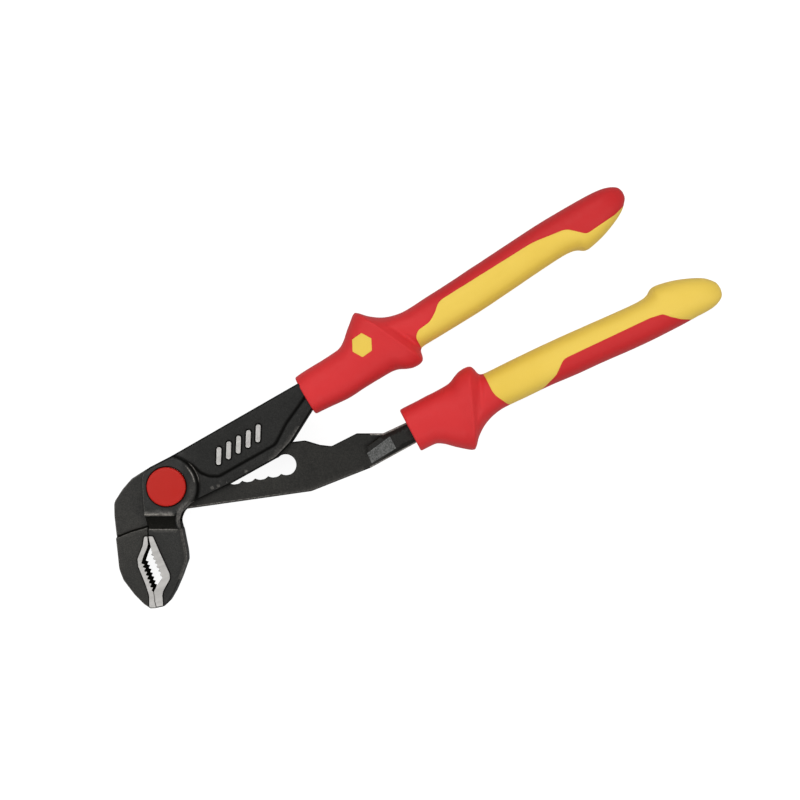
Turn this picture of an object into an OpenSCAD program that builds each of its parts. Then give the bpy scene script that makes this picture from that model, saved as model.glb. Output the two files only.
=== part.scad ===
// Insulated box-joint water pump pliers, about 250 mm long, with a push-button notch adjustment.
// Frame: the joint pin's axis is the Z axis, and Z = 0 is the plane of the rear faces of the box
// joint. The tool lies flat in XY: the handles run towards +X and up to +Y, and the jaws hang
// down towards -Y. The button is on the +Z face. Left is -X and right is +X.

/* [Joint] */
// Overall thickness of the box joint, boss face to boss face
box_t = 17; // [16.5:0.25:18]
// Thickness of the flat rack plate that runs through the box
plate_t = 6; // [5.5:0.1:6]
// Sliding clearance on each side of the rack plate
run_gap = 0.1; // [0.05:0.01:0.15]
// Radius of the raised round boss around the button
boss_r = 11.6; // [11:0.1:12]
// Thickness of the arm behind the box
arm_t = 12; // [11:0.25:13]
// How far the raised panel stands above the arm, each face
panel_rise = 1.0; // [0.4:0.1:1.2]

/* [Notch rack] */
// Number of notches in the chain
notches = 10; // [8:1:10]
// Distance from notch to notch
notch_pitch = 5.0; // [4.9:0.05:5.1]
// Radius of one notch
notch_r = 4.0; // [3.98:0.01:4.05]
// Direction of the chain above the X axis, degrees
rack_dir = 10.2; // [10:0.1:10.4]

/* [Pin and button] */
// Radius of the locking pin
pin_r = 3.95; // [3.9:0.01:3.95]
// Half the width across the pin's two flats
pin_flat = 2.95; // [2.7:0.05:3]
// Radius of the button cap
button_r = 7.35; // [6.8:0.05:7.4]
// How far the button stands above the boss
button_proud = 1.2; // [0.8:0.1:1.6]
// Wire diameter of the conical return spring
wire_d = 0.8; // [0.6:0.05:0.8]
// Number of coils in the return spring
coils = 2.5; // [2:0.25:3]

/* [Jaws] */
// Thickness of the jaws
jaw_t = 10.5; // [9.5:0.25:11]
// How far the ground lands stand above the black jaw faces
land_rise = 0.2; // [0.1:0.05:0.4]
// Teeth on the right jaw's pipe recess; the left jaw has one more
teeth_n = 6; // [4:1:8]
// Depth of a tooth
tooth_d = 0.7; // [0.5:0.05:1]

/* [Grips] */
// Length of the upper collar, from its mouth to the guard's peak
collar_upper = 33.2; // [31:0.2:33.4]
// Length of the lower collar, from its mouth to the guard's peak
collar_lower = 19.2; // [17:0.2:20]
// Thickness of a grip along its handle
grip_t = 17.4; // [16:0.2:18]
// Thickness of a grip at its guard
guard_t = 21; // [19:0.2:22]
// Thickness of the red outer layer
shell_t = 2.2; // [1.6:0.1:2.4]
// Corner radius of the six-sided inlay
inlay_r = 4.5; // [3.5:0.1:4.6]

/* [Hidden] */
$fn = 64;
fit = 0.02;                     // gap between pieces that rest on each other

// half heights, measured from the mid-plane of the tool
half_box = box_t / 2;
mid_z = half_box;
box_face = half_box - 0.2;      // box faces lie just below the boss
half_plate = plate_t / 2;
half_slot = half_plate + run_gap;
half_arm = arm_t / 2;
half_panel = half_arm + panel_rise;
half_land = jaw_t / 2;
half_jaw = half_land - land_rise;

// joint hardware, heights above Z = 0
bore_z = mid_z + half_slot + 0.9;       // floor of the button's bore
washer_t = 0.4;
washer_z = bore_z + fit;
button_top = box_t + button_proud;
button_under = button_top - 1.4;        // ceiling inside the button
neck_top = button_top - 0.9;            // top of the pin's neck, inside the button
neck_r = 2.5;
neck_h = 2.5;
groove_z = 0.4;                         // ring groove near the rear end of the pin
groove_h = 0.9;
groove_r = 3.2;

// notch chain: unit vectors along it and across it
chain_u = polar(1, rack_dir);
chain_n = polar(1, rack_dir + 90);
rack_up = 8.1;                  // rack's upper edge above the chain's centre line

// place of the guard's peak and direction of each grip
upper_o = [79.7, 51.1];
upper_a = 32.8;
lower_o = [108.7, 29.2];
lower_a = 25.5;
grip_end = 110.2;               // station of the grip's far end
body_end = 107.5;               // station where the core's inner body ends
body_start = 0.8;               // inner body starts this far inside the collar's mouth

grip_yellow = [0.93, 0.78, 0.30];
grip_red = [0.83, 0.18, 0.19];

// ---------- helpers ----------
function unit(v) = v / norm(v);
function polar(r, a) = r * [cos(a), sin(a)];
function xy(p) = [p[0], p[1]];
function reversed(list) = [for (i = [len(list) - 1:-1:0]) list[i]];
// points given along and across the upper grip, and along and across the notch chain
function upper_xy(along, across) = upper_o + polar(along, upper_a) + polar(across, upper_a + 90);
function rack_xy(along, across) = along * chain_u + across * chain_n;

// arc that replaces the corner [x, y, radius] between its two neighbours
function corner_arc(before, corner, after) =
    let (p = xy(corner), r = corner[2],
         to_before = unit(xy(before) - p), to_after = unit(xy(after) - p),
         half_angle = acos(max(-1, min(1, to_before * to_after))) / 2,
         setback = r / tan(half_angle),
         centre = p + unit(to_before + to_after) * r / sin(half_angle),
         first = p + to_before * setback - centre,
         last = p + to_after * setback - centre,
         start = atan2(first[1], first[0]),
         turn = ((atan2(last[1], last[0]) - start + 540) % 360) - 180,
         steps = max(2, ceil(abs(turn) / 12)))
    [for (k = [0:steps]) centre + polar(r, start + turn * k / steps)];

// outline with rounded corners; a point without a radius stays sharp
function soft(points) =
    let (n = len(points))
    [for (i = [0:n - 1])
        let (p = points[i])
        each (len(p) < 3 || p[2] <= 0) ? [xy(p)]
            : corner_arc(points[(i + n - 1) % n], p, points[(i + 1) % n])];

// smooth curve (cubic Hermite) through a table of [station, value]
function segment_at(x, table, i = 0) =
    (i >= len(table) - 2 || x < table[i + 1][0]) ? i : segment_at(x, table, i + 1);
function slope_at(table, i) =
    let (step = table[min(i + 1, len(table) - 1)] - table[max(i - 1, 0)])
    step[1] / step[0];
function smooth(x, table) =
    let (i = segment_at(x, table), p = table[i], q = table[i + 1], h = q[0] - p[0],
         u = max(0, min(1, (x - p[0]) / h)), u2 = u * u, u3 = u2 * u)
    (2 * u3 - 3 * u2 + 1) * p[1] + (u3 - 2 * u2 + u) * slope_at(table, i) * h
    + (-2 * u3 + 3 * u2) * q[1] + (u3 - u2) * slope_at(table, i + 1) * h;

// saw teeth between two points; positive depth stands to the left of the direction of travel
function teeth(from, to, n, depth) =
    let (along = unit(to - from), tip = [-along[1], along[0]] * depth)
    [for (i = [0:n - 1])
        each [from + (to - from) * i / n, from + (to - from) * (i + 0.5) / n + tip]];

// faces of a closed tube through rings 0 to last, each of n points
function tube_faces(n, last) = concat(
    [[for (k = [0:n - 1]) k]],
    [[for (k = [n - 1:-1:0]) last * n + k]],
    [for (i = [0:last - 1], k = [0:n - 1])
        let (a = i * n, b = a + n, j = (k + 1) % n)
        each [[a + k, b + k, b + j], [a + k, b + j, a + j]]]);

// a 2D shape between two heights from the mid-plane, or equally to both sides of it
module slab(low, high) {
    translate([0, 0, mid_z + low]) linear_extrude(height = high - low) children();
}
module both(half) {
    slab(-half, half) children();
}
module overlap_2d(a, b) {
    intersection() {
        polygon(a);
        polygon(b);
    }
}
// frames of the grips: X along the grip from the guard's peak, +Y away from the other handle
module at_upper() {
    translate([upper_o[0], upper_o[1], mid_z]) rotate(upper_a) children();
}
module at_lower() {
    translate([lower_o[0], lower_o[1], mid_z]) rotate(lower_a) rotate([180, 0, 0]) children();
}

// ---------- outlines in XY: [x, y] or [x, y, corner radius] ----------
// working edges of the jaws, from the box down to the tip
right_edge = concat(
    [[-7.3, -15.4], [-7.2, -19.3], [-6.6, -22.0], [-6.1, -24.2]],
    teeth([-5.9, -24.8], [-1.9, -34.0], teeth_n, -tooth_d),
    [[-1.9, -34.2], [-4.3, -37.8], [-5.2, -39.7], [-4.75, -43.5], [-4.2, -45.9]]);
left_edge = concat(
    [[-7.45, -15.4], [-7.35, -19.3], [-7.1, -22.0], [-7.8, -23.6], [-9.0, -26.2], [-9.8, -28.7]],
    teeth([-9.8, -28.9], [-6.0, -39.2], teeth_n + 1, tooth_d),
    [[-6.0, -39.2], [-5.35, -39.8], [-4.9, -43.5], [-4.35, -46.0]]);
// backs of the jaws, from the tip upwards
right_back = [
    [-1.4, -45.3, 0.5], [0.3, -43.6, 1], [2.4, -40.0, 6], [5.0, -34.1, 12], [7.2, -28.0, 4],
    [6.9, -24.6, 14], [5.3, -16.6, 3]];
left_back = [
    [-6.6, -46.1, 0.6], [-9.0, -44.5, 3], [-12.6, -40.9, 9], [-16.8, -35.4, 5],
    [-18.4, -31.2, 8], [-19.1, -24.4, 20], [-20.6, -11.4, 10], [-20.7, -6.2, 4],
    [-17.6, -1.4, 6], [-15.4, 1.2, 4], [-13.9, 2.8, 4], [-9.2, 5.8, 4]];
// underside of the arm, from the box to the grip
arm_under = [
    [4.2, -12.9, 4], [5.2, -9.9, 3], [8.9, -6.3, 2], [22.4, 0.65, 20], [41.3, 10.75, 3],
    [46.9, 16.7, 10]];
// left side of the box, from the top down
box_left = [
    [-8.6, 5.7, 1.5], [-9.3, 3.4, 2.4], [-9.1, -4.0, 6], [-8.6, -9.4, 6], [-7.8, -15.0, 0.4]];
// the arm reaches 0.1 beyond the collar's mouth, away from the grip
arm_end = -collar_upper - 0.1;
box_outline = soft(concat(right_edge, right_back, arm_under,
    [upper_xy(arm_end, -4.4), upper_xy(arm_end, 6.2), [0.2, 10.7, 6], [-6.5, 7.25, 8]],
    box_left));
rack_outline = soft(concat(left_back,
    [concat(rack_xy(-6, rack_up), 3), concat(rack_xy(47.5, rack_up), 3),
     [51.3, 17.1, 3], [57.0, 15.4, 3], [61.4, 14.9, 2], [71.0, 19.8, 2], [81.1, 19.8],
     [89.3, 23.65], [93.0, 16.1], [76.5, 6.9, 3], [54.0, -2.0, 3], [7.3, -8.6],
     [-7.45, -10.7, 2.5]],
    left_edge));

// regions that cut the two outlines into layers of different height
arm_region = [[-2, -4], [6, -9], [70, -9], [70, 60], [-12, 60], [-4.2, 8]];
panel_region = soft([
    [2, 6], [12, 6.4], [16.4, 3.9, 2.6], [19.2, 3.9, 2], [40.6, 15.9, 4], [44.8, 23.8, 8],
    [53.0, 35.2], [60, 45], [10, 60], [0.4, 10]]);
box_region = [[-20, -19.2], [5, -19.2], [5, 30], [-20, 30]];
right_jaw_region = [[-20, -60], [20, -60], [20, -14], [-20, -14]];
left_jaw_region = soft([
    [-30, -60], [0, -60], [0, -14.8], [-7.0, -15.3], [-13.5, -17.1, 16], [-19.7, -19.6],
    [-30, -23.6]]);
right_land_region = soft([
    [-14, -19.25], [-5.5, -19.2, 0.5], [-3.1, -24.6, 8], [0.7, -32.9, 1.5], [0.9, -34.8, 1.5],
    [-1.7, -39.5, 3], [-2.0, -41.1, 3], [-1.3, -50], [-14, -50]]);
left_land_region = soft([
    [0, -19.35], [-9.0, -19.3, 0.5], [-9.4, -22.4, 2], [-11.4, -27.4, 2], [-11.1, -30.2, 2],
    [-8.4, -36.8, 8], [-7.0, -41.1, 3], [-6.9, -50], [0, -50]]);
neck_region = [
    [75.0, 15.0], [82.0, 20.6], [95, 40], [110, 10], [76.9, 0], [76.3, 6], [75.4, 10.5]];

// ---------- tangs inside the grips ----------
// outlines in the grip's frame, [station, offset]
tang_end = 92;
upper_tang_outline = [
    [-36, -4.0], [-20, -4.0], [15, -3.4], [tang_end, -2.0], [tang_end, 2.8], [15, 4],
    [-20, 5.4], [-36, 6.0]];
lower_tang_outline = [
    [-22, -3.4], [15, -3.2], [tang_end, -2.2], [tang_end, 2.6], [15, 3.6], [-22, 4.5]];
tang_gap = 0.05;                // clearance of the socket around a tang

// the gap widens a tang on every side except its open end towards the joint
module tang(outline, half, gap) {
    translate([0, 0, -half - gap])
        linear_extrude(height = 2 * (half + gap))
            polygon([for (p = outline) p + gap * [p[0] == tang_end ? 1 : 0, sign(p[1])]]);
}
module upper_tang(gap = 0) {
    at_upper() tang(upper_tang_outline, 3.2, gap);
}
module lower_tang(gap = 0) {
    at_lower() tang(lower_tang_outline, 3.4, gap);
}

// ---------- forged box lever: arm, box joint and the right jaw ----------
// side view of the upper half of the box, [y, height from mid-plane]: a quarter ellipse scoops
// it down to the jaw
box_side = concat(
    [[-22, half_jaw]],
    [for (a = [0:10:90]) [-16.2 + 5.6 * sin(a), box_face - (box_face - half_jaw) * cos(a)]],
    [[12, box_face]]);

module box_block() {
    intersection() {
        both(half_box) overlap_2d(box_outline, box_region);
        translate([-20, 0, mid_z]) rotate([90, 0, 90]) linear_extrude(height = 40)
            polygon(concat(box_side, [for (p = reversed(box_side)) [p[0], -p[1]]]));
    }
}

module boss() {
    intersection() {
        cylinder(r = boss_r, h = box_t);
        both(half_box + 1) polygon(box_outline);
    }
}

// five bars across the panel, standing above it on both faces
module panel_ribs() {
    rib = [6.8, 1.9, 2 * (half_panel + 0.25)];
    for (i = [0:4])
        translate([19.5 + 3.68 * i, 11.5 + 2.13 * i, mid_z - rib[2] / 2])
            rotate(88) translate([-rib[0] / 2, -rib[1] / 2, 0]) cube(rib);
}

// room for the rack plate at every notch and at every opening angle
module rack_passage() {
    above = rack_up + 0.2;      // passage edges above and below the pin's centre
    below = 10.9;
    open = 31;                  // opening angle of the levers
    low_dir = rack_dir - 2.1;   // direction of the passage's lower edge
    both(half_slot) difference() {
        translate([-60, -60]) square([160, 120]);
        polygon([
            rack_xy(120, above),
            rack_xy(0, above),
            polar(above / cos(open / 2), rack_dir + 90 - open / 2),
            polar(above, rack_dir + 90 - open) - polar(40, rack_dir - open),
            [-30, 90], [120, 90]]);
        polygon([
            polar(below / cos(open / 2), low_dir - 90 - open / 2),
            polar(below, low_dir - 90 - open) + polar(30, low_dir - open),
            [25, -60], [-7.3, -60], [-7.3, -12.8]]);
    }
}

module box_lever() color([0.14, 0.14, 0.13]) {
    difference() {
        union() {
            both(half_arm) overlap_2d(box_outline, arm_region);
            both(half_panel) overlap_2d(box_outline, panel_region);
            box_block();
            boss();
            both(half_jaw) overlap_2d(box_outline, right_jaw_region);
            both(half_land) overlap_2d(box_outline, right_land_region);
            panel_ribs();
            upper_tang();
        }
        rack_passage();
        // pin hole, button bore and the ring's recess in the rear face
        translate([0, 0, -1]) cylinder(r = pin_r + 0.05, h = box_t + 2);
        translate([0, 0, bore_z]) cylinder(r = button_r + 0.2, h = box_t);
        translate([0, 0, -1]) cylinder(r = 5.6, h = 2.4);
    }
}

// ---------- forged rack lever: tang, notch rack and the left jaw ----------
module notch_chain(r) {
    for (i = [0:notches - 1]) translate(chain_u * notch_pitch * i) circle(r = r);
}

// thicker neck ahead of the tang; a sloping cut on each face leads up from the plate
module rack_neck() {
    cut_t = 6;
    difference() {
        both(4.8) overlap_2d(rack_outline, neck_region);
        for (side = [-1, 1])
            translate([75.9, 11.2, mid_z + side * half_plate])
                rotate(27) rotate([0, -side * 10.5, 0])
                    translate([-6, -3.4, side > 0 ? 0 : -cut_t]) cube([18, 5.6, cut_t]);
    }
}

module rack_lever() color([0.17, 0.17, 0.16]) {
    slot_half = notch_r + 0.05;
    difference() {
        union() {
            both(half_plate) polygon(rack_outline);
            both(half_jaw) overlap_2d(rack_outline, left_jaw_region);
            both(half_land) overlap_2d(rack_outline, left_land_region);
            rack_neck();
            lower_tang();
        }
        // +Z half: the chain of overlapping notches
        slab(0, half_slot + 0.1) notch_chain(notch_r);
        // -Z half: one plain slot for the pressed pin
        slab(-half_slot - 0.1, 0) {
            notch_chain(notch_r + 0.1);
            rotate(rack_dir) translate([0, -slot_half])
                square([notch_pitch * (notches - 1), 2 * slot_half]);
        }
    }
}

// ---------- locking pin, button, washer, spring and ring ----------
module locking_pin() color([0.75, 0.75, 0.74]) {
    difference() {
        cylinder(r = pin_r, h = neck_top - neck_h + 0.1);
        // flats on the upper part, along the chain
        for (y = [pin_flat, -pin_flat - 10])
            rotate(rack_dir) translate([-10, y, mid_z + half_plate - 0.1]) cube([20, 10, 20]);
        translate([0, 0, groove_z]) difference() {
            cylinder(r = 6, h = groove_h);
            translate([0, 0, -1]) cylinder(r = groove_r, h = 3);
        }
    }
    translate([0, 0, neck_top - neck_h]) cylinder(r = neck_r, h = neck_h);
}

module push_button() color([0.80, 0.13, 0.12]) {
    skirt_z = button_top - 2.2;
    skirt_r = 6.0;              // inner radius of the skirt
    difference() {
        rotate_extrude() polygon([
            [0, button_top], [button_r - 1.6, button_top - 0.12],
            [button_r - 0.5, button_top - 0.4], [button_r, button_top - 0.95],
            [button_r, skirt_z], [skirt_r, skirt_z], [skirt_r, button_under],
            [0, button_under]]);
        translate([0, 0, button_top - 3]) cylinder(r = neck_r, h = 2.1);
    }
}

// its hole follows the pin and the two flats
module spring_seat_washer() color([0.62, 0.62, 0.60]) {
    gap = 0.08;
    translate([0, 0, washer_z]) difference() {
        cylinder(r = button_r - 0.1, h = washer_t);
        translate([0, 0, -1]) intersection() {
            cylinder(r = pin_r + gap, h = 3);
            rotate(rack_dir) translate([-10, -pin_flat - gap, 0])
                cube([20, 2 * (pin_flat + gap), 3]);
        }
    }
}

// rise of the spring: flat for the first and last 15 % of its length
function spring_rise(u) = u < 0.15 ? 0 : u > 0.85 ? 1 : (u - 0.15) / 0.7;

module return_spring() color([0.80, 0.80, 0.78]) {
    wire_r = wire_d / 2;
    z0 = washer_z + washer_t + wire_r + fit;
    z1 = button_under - wire_r - fit;
    steps = round(coils * 20);
    sides = 8;
    points = [for (i = [0:steps])
        let (u = i / steps, r = 6.35 - wire_r - 0.9 * u, z = z0 + (z1 - z0) * spring_rise(u))
        for (k = [0:sides - 1])
            let (w = polar(wire_r, 360 * k / sides), p = polar(r + w[0], 360 * coils * u))
            [p[0], p[1], z + w[1]]];
    polyhedron(points = points, faces = tube_faces(sides, steps), convexity = 6);
}

module retaining_ring() color([0.55, 0.55, 0.54]) {
    slit = 2.2;
    translate([0, 0, groove_z + fit]) difference() {
        cylinder(r = 5.4, h = groove_h - 2 * fit);
        translate([0, 0, -1]) cylinder(r = groove_r + fit, h = 3);
        translate([-slit / 2, -8, -1]) cube([slit, 8, 3]);
    }
}

// ---------- two-colour grips, in the grip's frame ----------
// [station, offset] of the edge away from the other handle
outer_edge = [
    [-33.4, 8.6], [-30, 8.8], [-15, 8.7], [-12, 9.0], [-9, 10.6], [-6, 13.2], [-3, 15.6],
    [-1.2, 16.9], [0, 17.3], [1.2, 16.2], [3, 14.0], [5.5, 11.7], [8, 10.0], [11, 8.7],
    [14.5, 7.8], [18, 7.5], [26, 7.55], [36, 7.5], [48, 8.0], [62, 8.1], [76, 8.2], [86, 7.9],
    [94, 7.5], [100, 7.0], [104, 6.3], [107, 5.2], [109, 3.9], [110.2, 1.9]];
// [station, offset] of the edge towards the other handle
inner_edge = [
    [-33.4, -6.9], [-30, -7.2], [-24, -7.9], [-18, -8.4], [-12, -8.4], [-5, -8.6], [0, -9.2],
    [2.5, -9.9], [5, -11.3], [7.5, -12.3], [10, -12.3], [11.8, -11.6], [12.6, -10.4],
    [13.2, -8.3], [14, -7.4], [15.5, -7.1], [20, -7.2], [30, -7.5], [45, -7.8], [58, -7.6],
    [70, -7.2], [79, -7.1], [82.5, -7.5], [84.5, -8.3], [86.2, -9.6], [88, -10.0],
    [91, -9.7], [95, -8.9], [99, -7.7], [103, -6.2], [106.5, -4.4], [108.8, -2.4],
    [110.2, 0.2]];
// [station, half thickness in Z]
half_thick = [
    [-33.4, 7.7], [-28, 8.0], [-16, 8.1], [-9, 8.9], [-2, guard_t / 2 - 0.5], [4, guard_t / 2],
    [9, guard_t / 2 - 0.5], [14, 9.3], [19, grip_t / 2], [60, grip_t / 2],
    [84, grip_t / 2 + 0.2], [92, grip_t / 2], [100, 7.8], [105, 6.2], [108.5, 4.0],
    [110.2, 1.8]];
// stations of the rings, closer together at the guard and at the end
function stations(first, last) = concat(
    [first],
    [for (s = [-30:3:-12]) if (s > first + 1) s],
    [for (s = [-9:1.5:9]) s],
    [10, 11, 11.8, 12.4, 13, 13.6, 14.4, 16, 18.5, 23],
    [for (s = [30:8:78]) s],
    [81, 83, 85, 86.5, 88, 91, 95],
    [for (s = [99, 102, 104.5, 106.5, 108, 109.2]) if (s < last - 0.5) s],
    [last]);
// squares an ellipse up a little
function squared(v) = sign(v) * pow(abs(v), 0.8);

// one ring of n points around the grip
function grip_ring(s, inset, scale, n) =
    let (outer = smooth(s, outer_edge) - inset, inner = smooth(s, inner_edge) + inset,
         half_z = smooth(s, half_thick) - inset)
    [for (k = [0:n - 1])
        let (a = 360 * k / n)
        [s, (outer + inner) / 2 + scale * (outer - inner) / 2 * squared(cos(a)),
         scale * half_z * squared(sin(a))]];

module grip_loft(first, last, inset = 0) {
    sides = 22;
    rings = stations(first, last);
    // the mouth of the outer surface is drawn in slightly
    points = [for (i = [0:len(rings) - 1])
        each grip_ring(rings[i], inset, i == 0 && inset == 0 ? 0.94 : 1, sides)];
    polyhedron(points = points, faces = tube_faces(sides, len(rings) - 1), convexity = 8);
}
module grip_outside(collar, inset = 0) {
    grip_loft(-collar, grip_end, inset);
}
module grip_body(collar, inset = shell_t) {
    grip_loft(-collar + body_start, body_end, inset);
}

// where the red outer layer shows: one pattern on the local +Z face, two areas on the -Z face
red_front = soft([
    [-40, -20], [14, -20], [14, -7.1], [14.1, -3.0, 3], [16.6, -1.6, 2], [21.9, -1.3, 6],
    [25.6, 0.9, 5], [28.6, 3.4, 5], [33, 3.5], [71, 3.4, 20], [83.6, 1.4, 6], [89.8, -5.2, 3],
    [102.5, -5.5, 8], [112, -3.6], [112, 20], [-40, 20]]);
red_back_collar = soft([
    [-40, -20], [14.9, -20], [14.9, -7.4], [14.8, 1.0, 8], [18.2, 6.8, 3], [22, 9.4],
    [22, 20], [-40, 20]]);
red_back_strip = soft([
    [28, 20], [28, 8.6], [33.5, 7.1, 6], [39.2, 4.8, 6], [44.2, 0.5, 4], [82, 0.5, 8],
    [87.6, 2.2, 4], [92.4, 6.9, 5], [98, 8.6], [98, 20]]);

module red_zone() {
    reach = 14;
    linear_extrude(height = reach) polygon(red_front);
    for (area = [red_back_collar, red_back_strip])
        translate([0, 0, -reach]) linear_extrude(height = reach + 0.01) polygon(area);
}
module red_layer(collar) {
    intersection() {
        grip_outside(collar);
        red_zone();
    }
}
module inlay_prism() {
    translate([-4.5, 4.9, 7.5]) cylinder(r = inlay_r, h = 6, $fn = 6);
}

module grip_core(collar) {
    grip_body(collar);
    difference() {
        grip_outside(collar);
        red_zone();
    }
}
module grip_shell(collar) {
    difference() {
        red_layer(collar);
        grip_body(collar);
        inlay_prism();
    }
}
// the inlay stands 0.15 above the red layer
module grip_inlay(collar) {
    difference() {
        intersection() {
            grip_outside(collar, -0.15);
            inlay_prism();
        }
        grip_body(collar, shell_t - fit);
    }
}

// resize([0, 0, 0]) keeps every size as it is
module upper_grip_core() color(grip_yellow) resize([0, 0, 0]) difference() {
    at_upper() grip_core(collar_upper);
    upper_tang(tang_gap);
}
module upper_grip_shell() color(grip_red) resize([0, 0, 0]) difference() {
    at_upper() grip_shell(collar_upper);
    upper_tang(tang_gap);
}
module upper_grip_inlay() color(grip_yellow) resize([0, 0, 0])
    at_upper() grip_inlay(collar_upper);
module lower_grip_core() color(grip_yellow) resize([0, 0, 0]) difference() {
    at_lower() grip_core(collar_lower);
    lower_tang(tang_gap);
}
module lower_grip_shell() color(grip_red) resize([0, 0, 0]) difference() {
    at_lower() grip_shell(collar_lower);
    lower_tang(tang_gap);
}
module lower_grip_inlay() color(grip_yellow) resize([0, 0, 0])
    at_lower() grip_inlay(collar_lower);

box_lever();
rack_lever();
locking_pin();
push_button();
spring_seat_washer();
return_spring();
retaining_ring();
upper_grip_core();
upper_grip_shell();
upper_grip_inlay();
lower_grip_core();
lower_grip_shell();
lower_grip_inlay();
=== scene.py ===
import math
import bpy
import bmesh
import numpy as np
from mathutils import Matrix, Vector
from mathutils.geometry import delaunay_2d_cdt


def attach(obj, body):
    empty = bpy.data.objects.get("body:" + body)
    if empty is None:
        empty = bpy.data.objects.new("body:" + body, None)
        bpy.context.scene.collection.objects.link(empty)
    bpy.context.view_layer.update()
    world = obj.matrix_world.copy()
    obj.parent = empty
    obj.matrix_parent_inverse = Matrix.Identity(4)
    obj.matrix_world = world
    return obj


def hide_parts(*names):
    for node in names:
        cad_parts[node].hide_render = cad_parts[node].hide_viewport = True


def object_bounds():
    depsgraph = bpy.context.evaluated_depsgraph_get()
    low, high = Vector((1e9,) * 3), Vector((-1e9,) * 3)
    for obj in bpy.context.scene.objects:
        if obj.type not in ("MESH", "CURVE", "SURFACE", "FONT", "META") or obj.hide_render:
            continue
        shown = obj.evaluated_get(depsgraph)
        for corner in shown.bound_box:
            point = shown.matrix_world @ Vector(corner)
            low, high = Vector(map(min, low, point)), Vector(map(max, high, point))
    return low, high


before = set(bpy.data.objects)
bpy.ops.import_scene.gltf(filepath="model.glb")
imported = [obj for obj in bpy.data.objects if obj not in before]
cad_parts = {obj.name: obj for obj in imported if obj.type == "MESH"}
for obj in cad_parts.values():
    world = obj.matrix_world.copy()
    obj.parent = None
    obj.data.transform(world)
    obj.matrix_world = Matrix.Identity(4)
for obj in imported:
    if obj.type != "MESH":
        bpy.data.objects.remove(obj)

CAD_LO, CAD_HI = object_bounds()
MM = 0.001
ZM = 8.5            # mid-plane of the tool above the rear face of the box, mm


# ------------------------------------------------------------------ 2D tools
def unit(v):
    v = np.asarray(v, float)
    return v / max(np.linalg.norm(v), 1e-12)


def soft(P, step=7.0):
    """Polygon corners [x, y, radius] to points, with arcs."""
    out, n = [], len(P)
    for i in range(n):
        a, b, c = P[i - 1], P[i], P[(i + 1) % n]
        p = np.array(b[:2], float)
        if len(b) < 3 or b[2] <= 0:
            out.append(p)
            continue
        u, v = unit(np.array(a[:2]) - p), unit(np.array(c[:2]) - p)
        h = math.acos(max(-1, min(1, float(u @ v)))) / 2
        t = b[2] / math.tan(h)
        q = p + unit(u + v) * b[2] / math.sin(h)
        s, e = p + u * t, p + v * t
        a0, a1 = math.atan2(*(s - q)[::-1]), math.atan2(*(e - q)[::-1])
        d = (a1 - a0 + 3 * math.pi) % (2 * math.pi) - math.pi
        k = max(2, int(math.ceil(abs(math.degrees(d)) / step)))
        out += [q + b[2] * np.array([math.cos(a0 + d * j / k), math.sin(a0 + d * j / k)]) for j in range(k + 1)]
    return np.array(out)


def resample(P, gap, closed=True):
    """Points along a polyline, keeping its own corners, no further apart than gap."""
    Q = np.vstack([P, P[:1]]) if closed else P
    out = []
    for a, b in zip(Q[:-1], Q[1:]):
        k = max(1, int(math.ceil(np.linalg.norm(b - a) / gap)))
        out += [a + (b - a) * j / k for j in range(k)]
    if not closed:
        out.append(Q[-1])
    R = np.array(out)
    keep = [0]
    for i in range(1, len(R)):
        if np.linalg.norm(R[i] - R[keep[-1]]) > gap * 0.22:
            keep.append(i)
    return R[keep]


def inside(pts, poly):
    x, y = pts[:, 0], pts[:, 1]
    r = np.zeros(len(pts), bool)
    x0, y0 = poly[:, 0], poly[:, 1]
    x1, y1 = np.roll(x0, -1), np.roll(y0, -1)
    for a, b, c, d in zip(x0, y0, x1, y1):
        if b == d:
            continue
        hit = ((b > y) != (d > y)) & (x < (c - a) * (y - b) / (d - b) + a)
        r ^= hit
    return r


def dist(pts, line, closed=True):
    """Distance from points to a polyline."""
    A = line
    B = np.roll(line, -1, 0) if closed else line[1:]
    if not closed:
        A = line[:-1]
    best = np.full(len(pts), 1e9)
    for a, b in zip(A, B):
        d = b - a
        L = d @ d
        if L < 1e-14:
            continue
        t = np.clip(((pts - a) @ d) / L, 0, 1)
        q = pts - (a + t[:, None] * d)
        best = np.minimum(best, q[:, 0] ** 2 + q[:, 1] ** 2)
    return np.sqrt(best)


def sdist(pts, poly):
    """Signed distance, positive inside."""
    d = dist(pts, poly)
    return np.where(inside(pts, poly), d, -d)


def ring(poly, off, gap, ref=None):
    """The closed polyline moved inwards by off, as runs of points that really lie that far in."""
    P = resample(poly, gap)
    t = np.roll(P, -1, 0) - np.roll(P, 1, 0)
    t /= np.maximum(np.linalg.norm(t, axis=1), 1e-9)[:, None]
    area = 0.5 * np.sum(P[:, 0] * np.roll(P[:, 1], -1) - np.roll(P[:, 0], -1) * P[:, 1])
    nrm = np.stack([-t[:, 1], t[:, 0]], 1) * (1 if area > 0 else -1)
    Q = P + nrm * off
    d = dist(Q, poly if ref is None else ref)
    ok = d > abs(off) * 0.97
    return Q, ok


def sstep(x, a, b):
    t = np.clip((x - a) / (b - a), 0, 1)
    return t * t * (3 - 2 * t)


def bump_edge(d, r):
    """How far a rounded edge of radius r lies below the face, d in from the rim."""
    k = np.clip(1 - d / r, 0, 1)
    return r * (1 - np.sqrt(np.clip(1 - k * k, 0, 1)))


# ------------------------------------------------------------------ the design's outlines, mm
def teeth(a, b, n, d):
    a, b = np.array(a, float), np.array(b, float)
    w = unit(b - a)
    l = np.array([-w[1], w[0]]) * d
    out = []
    for i in range(n):
        out += [a + (b - a) * i / n, a + (b - a) * (i + 0.12) / n, a + (b - a) * (i + 0.45) / n + l, a + (b - a) * (i + 0.55) / n + l]
    return [list(p) + [0] for p in out]


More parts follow.
